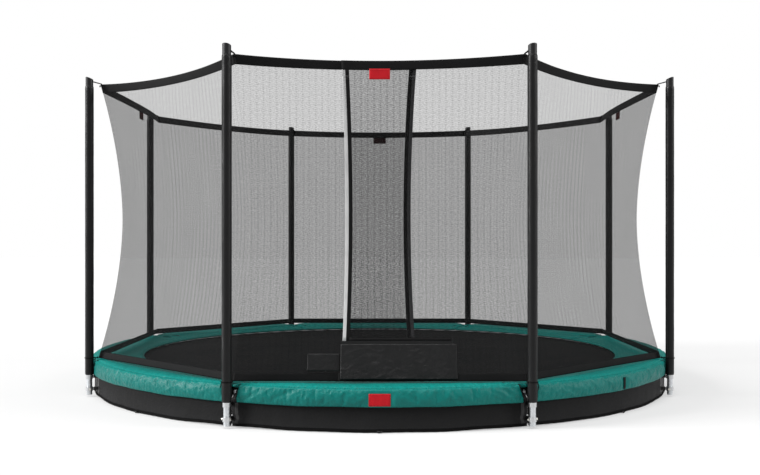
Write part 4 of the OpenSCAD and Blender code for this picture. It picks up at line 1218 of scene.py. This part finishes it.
def remeshed(node, voxel):
    """A copy of a CAD node's mesh with even, small faces."""
    copy = put(node.name + "_copy", node.data.copy())
    weld = copy.modifiers.new("Weld", "WELD")
    weld.merge_threshold = 0.00005
    even = copy.modifiers.new("Remesh", "REMESH")
    even.mode = "VOXEL"
    even.voxel_size = voxel
    soften = copy.modifiers.new("Smooth", "SMOOTH")
    soften.factor = 0.5
    soften.iterations = 2
    bpy.context.view_layer.update()
    graph = bpy.context.evaluated_depsgraph_get()
    mesh = bpy.data.meshes.new_from_object(copy.evaluated_get(graph))
    copy.modifiers.clear()
    bpy.data.objects.remove(copy)
    return mesh


def wrap_rows(j, zs, left, right, cols, out=0.0, seed=0, ripple=0.0):
    """Net points on face j between two edges that may change with height."""
    s = np.linspace(0, 1, cols)
    z = np.asarray(zs)[:, None]
    x = left(z) + (right(z) - left(z)) * s[None, :]
    offset = out(x, z) if callable(out) else out
    if ripple:
        spots = np.stack([x, np.broadcast_to(z, x.shape), 0 * x], axis=-1)
        fade = soft_step(0, 0.10, half_width(j, z) - np.abs(x))
        swing = 0.7 * rumple(spots, (5, 2.2, 1), seed) + 0.3 * rumple(spots, (14, 5, 1), seed + 5)
        offset = offset + ripple * fade * swing
    return net_point(j, x, np.broadcast_to(z, x.shape), offset)


class TRAMPOLINE_OT_net(bpy.types.Operator):
    """Hang the seven closed net panels with their sewn bands."""
    bl_idname = "trampoline.net"
    bl_label = "Net panels"

    def execute(self, context):
        node = {j: f"net_panel_{j + 1 if j < FRONT else 7}" for j in range(SIDES) if j != FRONT}
        heights = np.concatenate([
            np.linspace(NET_Z[0] + 0.003, BAND_FOOT_Z, 4), np.linspace(0.31, 1.86, 44),
            np.linspace(BAND_TOP_Z, NET_Z[1] - 0.003, 4)])
        for j, replaced in node.items():
            name = replaced.replace("net_panel", "net")
            ends = [lambda z, j=j, s=s: s * (half_width(j, z) + 0.0002) for s in (-1, 1)]
            p = wrap_rows(j, heights, *ends, 44, 0.0, j, 0.0035)
            panel = net_sheet(f"{name}_mesh", j, p)
            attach(panel, "frame")
            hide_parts(replaced)
            bands = net_bands(f"{name}_bands", j, *ends)
            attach(bands, "frame")
            declare_net(p)
        return {"FINISHED"}


def declare_net(p):
    """Works out the areas of a net's faces and its flat size, its own greatest lengths as it is cut flat,
    and keeps neither.
    """
    a, b, c, d = p[:-1, :-1], p[:-1, 1:], p[1:, 1:], p[1:, :-1]
    halves = [np.linalg.norm(np.cross(*pair), axis=2) for pair in ((b - a, d - a), (b - c, d - c))]
    flat = flat_size(p)


def net_bands(name, j, left, right, out=0.0, top=True, foot=True):
    """The sewn top and bottom bands of a net panel, with rolled edges."""
    spans = [(NET_Z[0] + 0.0005, BAND_FOOT_Z)] * foot + [(BAND_TOP_Z, NET_Z[1])] * top
    parts = []
    for span in spans:
        p = wrap_rows(j, np.linspace(*span, 9), left, right, 60, out, j + 11, 0.0022)
        parts.append((*slab_parts(p, 0.0020, 0.0012), 0))
    return join_parts(name, parts, [MATERIALS["band"]])


class TRAMPOLINE_OT_entry(bpy.types.Operator):
    """Hang the entry: two overlapping sheets, their loose flaps and bindings, and the threshold."""
    bl_idname = "trampoline.entry"
    bl_label = "Entry"

    def execute(self, context):
        for side, word in ((1, "right"), (-1, "left")):
            self.sheet(side, word)
        for side, word, joint in ((1, "outer", "flap_outer"), (-1, "inner", "flap_inner")):
            self.flap(side, word, joint)
        self.threshold()
        return {"FINISHED"}

    def offset(self, side):
        """The overlapping sheets stand apart, and come together at the corners."""
        def out(x, z):
            w = half_width(FRONT, z)
            return side * LAYER * (1 - np.clip(side * x / w - 0.6, 0, None) ** 2 / 0.16)
        return out

    def in_order(self, side, inner, outer):
        """Two edges from left to right; the outer sheet lies to the right of its free edge."""
        return (inner, outer) if side > 0 else (outer, inner)

    def sheet(self, side, word):
        """The sewn part of an entry sheet."""
        def inner_edge(z):
            z = np.asarray(z, float)
            return side * np.where(z > FLAP_Z[1] + 0.0003, -edge_x(side, z), fold_x(side, z))

        def corner(z):
            return side * (half_width(FRONT, z) + 0.0002)

        zs = np.concatenate([
            np.linspace(NET_Z[0] + 0.003, 0.44, 9), np.linspace(*FLAP_Z, 44),
            np.linspace(FLAP_Z[1] + 0.0006, BAND_TOP_Z, 4), np.linspace(1.91, NET_Z[1] - 0.003, 3)])
        ends = self.in_order(side, inner_edge, corner)
        p = wrap_rows(FRONT, zs, *ends, 40, self.offset(side), 71, 0.0012)
        cloth = net_sheet(f"entry_{word}_mesh", FRONT, p)
        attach(cloth, "frame")
        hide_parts(f"net_front_{word}")
        ends = self.in_order(side, lambda z: -side * edge_x(side, z), corner)
        top = net_bands(f"entry_{word}_top_band", FRONT, *ends, self.offset(side), foot=False)
        root = (OUTER_ROOT_X if side > 0 else INNER_ROOT_X) + 0.001
        ends = self.in_order(side, lambda z: 0 * z + side * root, corner)
        foot = net_bands(f"entry_{word}_foot_band", FRONT, *ends, self.offset(side), top=False)
        head = self.binding(side, f"entry_{word}_head_binding",
                            np.linspace(FLAP_Z[1] + 0.0006, BAND_TOP_Z + 0.001, 5))
        for band in (top, foot, head):
            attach(band, "frame")
        declare_net(p)

    def binding(self, side, name, zs):
        """The two sewn strips along a sheet's free edge; the white one narrows towards its top, and the
        inner sheet's grey one is painted shade.
        """
        white = side > 0
        # The inner sheet's strip is grey: painted shade
        strips = ((0.0, 0.019, "white_band" if white else "grey_band", 0.0030),
                  (0.018, 0.0385, "band", 0.0040))
        parts = []
        for number, (start, end, finish, thick) in enumerate(strips):
            narrow = 0.012 if finish == "white_band" else 0.0
            a, b = (lambda z, d=d, n=n: side * (d - n * soft_step(1.50, 1.84, z) - edge_x(side, z))
                    for d, n in ((start, 0.0), (end, narrow)))
            q = wrap_rows(FRONT, zs, *self.in_order(side, a, b), 6, side * LAYER)
            parts.append((*slab_parts(q, thick * 0.5, thick * 0.25), number))
        return join_parts(name, parts, [MATERIALS[strip[2]] for strip in strips])

    def flap(self, side, word, body):
        """The loose flap beyond the fold line, with the binding on its free edge."""
        zs = np.linspace(*FLAP_Z, 60)
        out = side * LAYER

        def edges(in_from_free, in_from_fold):
            return self.in_order(side, lambda z: side * (in_from_free - edge_x(side, z)),
                                 lambda z: side * (fold_x(side, z) - in_from_fold))

        p = wrap_rows(FRONT, zs, *edges(0, 0), 36, out)
        cloth = net_sheet(f"flap_{word}_mesh", FRONT, p)
        binding = self.binding(side, f"flap_{word}_binding", zs)
        foot_zs = np.linspace(FLAP_Z[0] + 0.0005, FLAP_Z[0] + 0.016, 3)
        hem = wrap_rows(FRONT, foot_zs, *edges(0.036, 0.004), 30, out)
        foot = slab(f"flap_{word}_hem", hem, 0.0022, MATERIALS["band"])
        bottom, top = (net_point(FRONT, side * fold_x(side, z), z, out) for z in FLAP_Z)
        line = (top - bottom) / np.linalg.norm(top - bottom)
        away = np.array([-side * line[2], 0, side * line[0]])
        away /= np.linalg.norm(away)
        for piece in (cloth, binding, foot):
            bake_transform(piece)
        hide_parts(f"entry_flap_{word}")
        declare_net(p)

    def threshold(self):
        """The wrinkled fabric over the net's foot, with its creased end."""
        foot = NET_Z[0] + 0.012
        left, right = -edge_x(1, NET_Z[0]), THRESHOLD_X
        main = self.cloth(np.linspace(left, right, 150), np.linspace(foot, foot + THRESHOLD_H, 44),
                          LAYER + 0.0043, 0.009, 0.06)
        tail = self.cloth(np.linspace(left - THRESHOLD_TAIL, left - 0.006, 50),
                          np.linspace(foot + 0.042, foot + 0.128, 20), 0.0021, 0.0040, 0.03)
        for name, p, thick in (("threshold_cloth", main, 0.0018), ("threshold_tail", tail, 0.0016)):
            cloth = slab(name, p, thick, MATERIALS["apron"])
            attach(cloth, "frame")
            flat_size(p)
        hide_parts("entry_apron")
        strip = wrap_rows(FRONT, np.linspace(NET_Z[0] + 0.0005, BAND_FOOT_Z, 7),
                          lambda z: 0 * z - 0.216, lambda z: 0 * z + THRESHOLD_X, 60, 0.0)
        band = slab("threshold_band", strip, 0.0022, MATERIALS["band"], 0.0011)
        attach(band, "frame")
        rows = [row + (0, -0.0012, 0) for row in (main[2], main[-3], main[:, 4])]
        stitches("threshold_stitches", rows, MATERIALS["thread"],
                 spacing=0.010, length=0.006, thick=0.0011)

    def cloth(self, xs, zs, off, depth, fade_to):
        """Wrinkled cloth in front of the net, calm at its right end."""
        x, z = np.meshgrid(xs, zs)
        fade = np.minimum(1, (xs[-1] - x) / fade_to)
        mx, mz = x * 1000, (z - zs[0]) * 1000
        steep, flat = np.radians(mx * 1.9 + mz * 1.1), np.radians(mz * 0.7 - mx * 0.35)
        lean = 0.5 + 0.5 * np.sin(steep) * np.cos(flat)
        spots = np.stack([x + z * 0.4, z - x * 0.25, 0 * x], axis=-1)
        fold = 1 - np.abs(rumple(spots, (16, 34, 1), 81)) * 2
        small = rumple(spots, (60, 70, 1), 82)
        lift = 0.72 * lean + 0.20 * np.clip(fold, 0, 1) + 0.06 * small
        return net_point(FRONT, x, z, off + depth * fade * lift)


class TRAMPOLINE_OT_ties(bpy.types.Operator):
    """Tie the net to the caps and round the sleeves."""
    bl_idname = "trampoline.ties"
    bl_label = "Tie cords"

    def execute(self, context):
        parts = []
        for k in range(SIDES):
            for path, radius in self.paths():
                parts.append((*tube_parts(turned(path, pole_angle(k)), radius, 9), 0))
        cords = join_parts("net_cords", parts, [MATERIALS["cord"]])
        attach(cords, "frame")
        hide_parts("net_ties")
        return {"FINISHED"}

    def corner(self, z, out):
        """Distance from the axis to a point just outside or inside the net's corner."""
        return float(corner_radius(np.array(z))) + out

    def paths(self):
        """The cords of one pole: two to the cap, a knot at each end of the net's corner, and a loop."""
        top_z, cap_z, foot_z = 1.9475, 1.959, 0.2404
        knot_r = self.corner(NET_Z[1], -0.010)
        cap = POLE_R - 0.023
        knot_out, knot_size = 0.0066, 0.0021
        for s in (-1, 1):
            sway = [0, 0.6, 1.0, 0.7, 0]
            yield [(knot_r + (cap + 0.003 - knot_r) * t, s * (0.0012 + 0.0038 * t + 0.0008 * w),
                    top_z + (cap_z - top_z) * t - 0.0006 * w - 0.008 * (t == 0))
                   for t, w in zip((0, 0.06, 0.5, 0.75, 1), sway)], 0.0027
        for z in (1.933, foot_z):
            r = self.corner(z, knot_out)
            knot = []
            for t in np.linspace(0, math.tau, 40):
                w = knot_size * (2 + math.cos(3 * t))
                knot.append((r + knot_size * math.sin(3 * t), w * math.cos(2 * t) * 0.75,
                             z + w * math.sin(2 * t) * 0.75))
            yield knot, 0.0019
        r = self.corner(foot_z, knot_out)
        loop_r = SLEEVE_R + 0.0027
        reach = POLE_R - r
        start = math.acos(loop_r / reach)
        arc = [(POLE_R - loop_r * math.cos(t), loop_r * math.sin(t), foot_z + 0.0004 * math.sin(3 * t))
               for t in np.linspace(start, math.tau - start, 40)]
        yield [(r, 0.001, foot_z)] + arc + [(r, -0.001, foot_z)], 0.0023


class TRAMPOLINE_OT_tags(bpy.types.Operator):
    """Sew on the plain tags and the pull strap."""
    bl_idname = "trampoline.tags"
    bl_label = "Tags"

    def execute(self, context):
        parts, threads = [], []
        for j in range(0, SIDES, 2):
            finish, lift = (0, LAYER + 0.0036) if j == FRONT else (1, 0.0036)
            top = BAND_TOP_Z + 0.006
            x, z = np.meshgrid(np.linspace(-TAG_W / 2, TAG_W / 2, 16), np.linspace(top - TAG_H, top, 10))
            curl = 0.0012 * soft_step(top - 0.02, top - TAG_H, z) * (1 + 0.5 * np.sin(x * 60))
            p = net_point(j, x, z, lift + curl)
            parts.append((*slab_parts(p, 0.0009, 0.0003), finish))
            out = polar(0.0009, face_angle(j), 0)
            threads += [p[-2] + out, p[1] + out]
        half = TAG_W / 2 / PAD_OUT_R
        a, z = np.meshgrid(np.linspace(-half, half, 20),
                           np.linspace(PAD_FOOT_Z + 0.007, PAD_FOOT_Z + 0.070, 12))
        p = polar(PAD_OUT_R - 0.0006 + 0.0004 * np.sin(a * 300), a, z, face_angle(FRONT))
        parts.append((*slab_parts(p, 0.0010, 0.0003), 0))
        out = np.array([0, -0.0009, 0])
        threads += [p[1] + out, p[-2] + out, p[:, 1] + out, p[:, -2] + out]
        half = 0.010 / PAD_OUT_R
        a, z = np.meshgrid(np.linspace(-half, half, 5),
                           np.linspace(PAD_FOOT_Z + 0.007, PAD_FOOT_Z + 0.073, 24))
        ends = np.minimum(z - z.min(), z.max() - z)
        p = polar(PAD_OUT_R + 0.0008 + 0.0016 * soft_step(0, 0.012, ends), a, z, face_angle(FRONT + 1))
        parts.append((*slab_parts(p, 0.0016), 2))
        finishes = [MATERIALS[key] for key in ("tag", "dark_tag", "band")]
        tags = join_parts("sewn_on_tags", parts, finishes)
        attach(tags, "frame")
        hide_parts("sewn_tags")
        stitches("tag_stitches", threads, MATERIALS["thread"],
                 spacing=0.005, length=0.0032, thick=0.0007)
        return {"FINISHED"}


class TRAMPOLINE_OT_stage(bpy.types.Operator):
    """Set the pale floor, the soft lights and the camera."""
    bl_idname = "trampoline.stage"
    bl_label = "Stage"

    def execute(self, context):
        stage = context.scene.trampoline_stage
        half = stage.floor_size / 2
        b = Bench("pale_floor", (0.36, 0.36, 0.36), 0.85, Specular_IOR_Level=0.05,
                  Emission_Color=(1, 1, 1, 1), Emission_Strength=0.44)
        b.shade(b.noise(b.place(), 3.0, 3), 0.992, 1.0)
        corners = [(x * half, y * half, -0.0005) for x, y in ((-1, -1), (1, -1), (1, 1), (-1, 1))]
        floor = put("floor", make_mesh("floor", corners, [(0, 1, 2, 3)], [b.material]))
        floor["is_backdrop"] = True
        world = bpy.data.worlds.new("studio")
        world.use_nodes = True
        sky = world.node_tree.nodes["Background"]
        sky.inputs["Color"].default_value = (1, 1, 1, 1)
        seen = world.node_tree.nodes.new("ShaderNodeLightPath")
        level = world.node_tree.nodes.new("ShaderNodeMapRange")
        level.inputs["To Min"].default_value = stage.sky_light
        world.node_tree.links.new(seen.outputs["Is Camera Ray"], level.inputs["Value"])
        world.node_tree.links.new(level.outputs["Result"], sky.inputs["Strength"])
        context.scene.world = world
        context.scene.view_settings.view_transform = "Standard"
        for name, turn, height, strength, spread in (
                ("top", -14, 74, stage.top_light, 40), ("left", -80, 24, stage.side_light, 20),
                ("right", 80, 24, stage.side_light * 0.38, 20)):
            lamp = bpy.data.lights.new(name, "SUN")
            lamp.energy, lamp.angle = strength, math.radians(spread)
            light = bpy.data.objects.new(name, lamp)
            light.rotation_euler = (math.radians(90 - height), 0, math.radians(turn))
            context.scene.collection.objects.link(light)
        eye = bpy.data.cameras.new("camera")
        eye.sensor_width = SENSOR
        eye.lens = FOCAL_PIXELS / PICTURE_PIXELS * SENSOR
        eye.shift_x, eye.shift_y = CAMERA_SHIFT
        eye.clip_end = 300
        camera = bpy.data.objects.new("camera", eye)
        camera.location = CAMERA_PLACE
        camera.rotation_euler = (math.pi / 2, 0, 0)
        context.scene.collection.objects.link(camera)
        context.scene.camera = camera
        return {"FINISHED"}


class TRAMPOLINE_PT_panel(bpy.types.Panel):
    """Lists the trampoline's sizes, looks and steps."""
    bl_idname = "TRAMPOLINE_PT_panel"
    bl_label = "Trampoline"
    bl_space_type = "VIEW_3D"
    bl_region_type = "UI"
    bl_category = "Trampoline"

    def draw(self, context):
        for name in GROUPS:
            group = getattr(context.scene, name)
            box = self.layout.box()
            for key in group.__annotations__:
                box.prop(group, key)
        for step in STEPS:
            self.layout.operator(step.bl_idname)


STEPS = (TRAMPOLINE_OT_stage, TRAMPOLINE_OT_metal, TRAMPOLINE_OT_sleeves, TRAMPOLINE_OT_springs,
         TRAMPOLINE_OT_mat, TRAMPOLINE_OT_skirt, TRAMPOLINE_OT_pads, TRAMPOLINE_OT_ties,
         TRAMPOLINE_OT_net, TRAMPOLINE_OT_entry, TRAMPOLINE_OT_tags)
GROUPS = {"trampoline_looks": TrampolineLooks, "trampoline_sizes": TrampolineSizes,
          "trampoline_stage": TrampolineStage}


def register():
    for group in GROUPS.values():
        bpy.utils.register_class(group)
    for name, group in GROUPS.items():
        setattr(bpy.types.Scene, name, bpy.props.PointerProperty(type=group))
    for step in STEPS + (TRAMPOLINE_PT_panel,):
        bpy.utils.register_class(step)


def unregister():
    for step in STEPS + (TRAMPOLINE_PT_panel,):
        bpy.utils.unregister_class(step)
    for name, group in GROUPS.items():
        delattr(bpy.types.Scene, name)
        bpy.utils.unregister_class(group)


def main():
    register()
    TREES.update(wire=ring_tree(True), solid=ring_tree(False), stitch=stitch_tree())
    MATERIALS.update(build_materials(bpy.context.scene.trampoline_looks))
    for step in STEPS:
        family, name = step.bl_idname.split(".")
        getattr(getattr(bpy.ops, family), name)()
    boxes = {"cad": CAD_BOX, "visual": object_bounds()}
    {key: [[float(c) for c in corner] for corner in box] for key, box in boxes.items()}


if __name__ == "__main__":
    main()
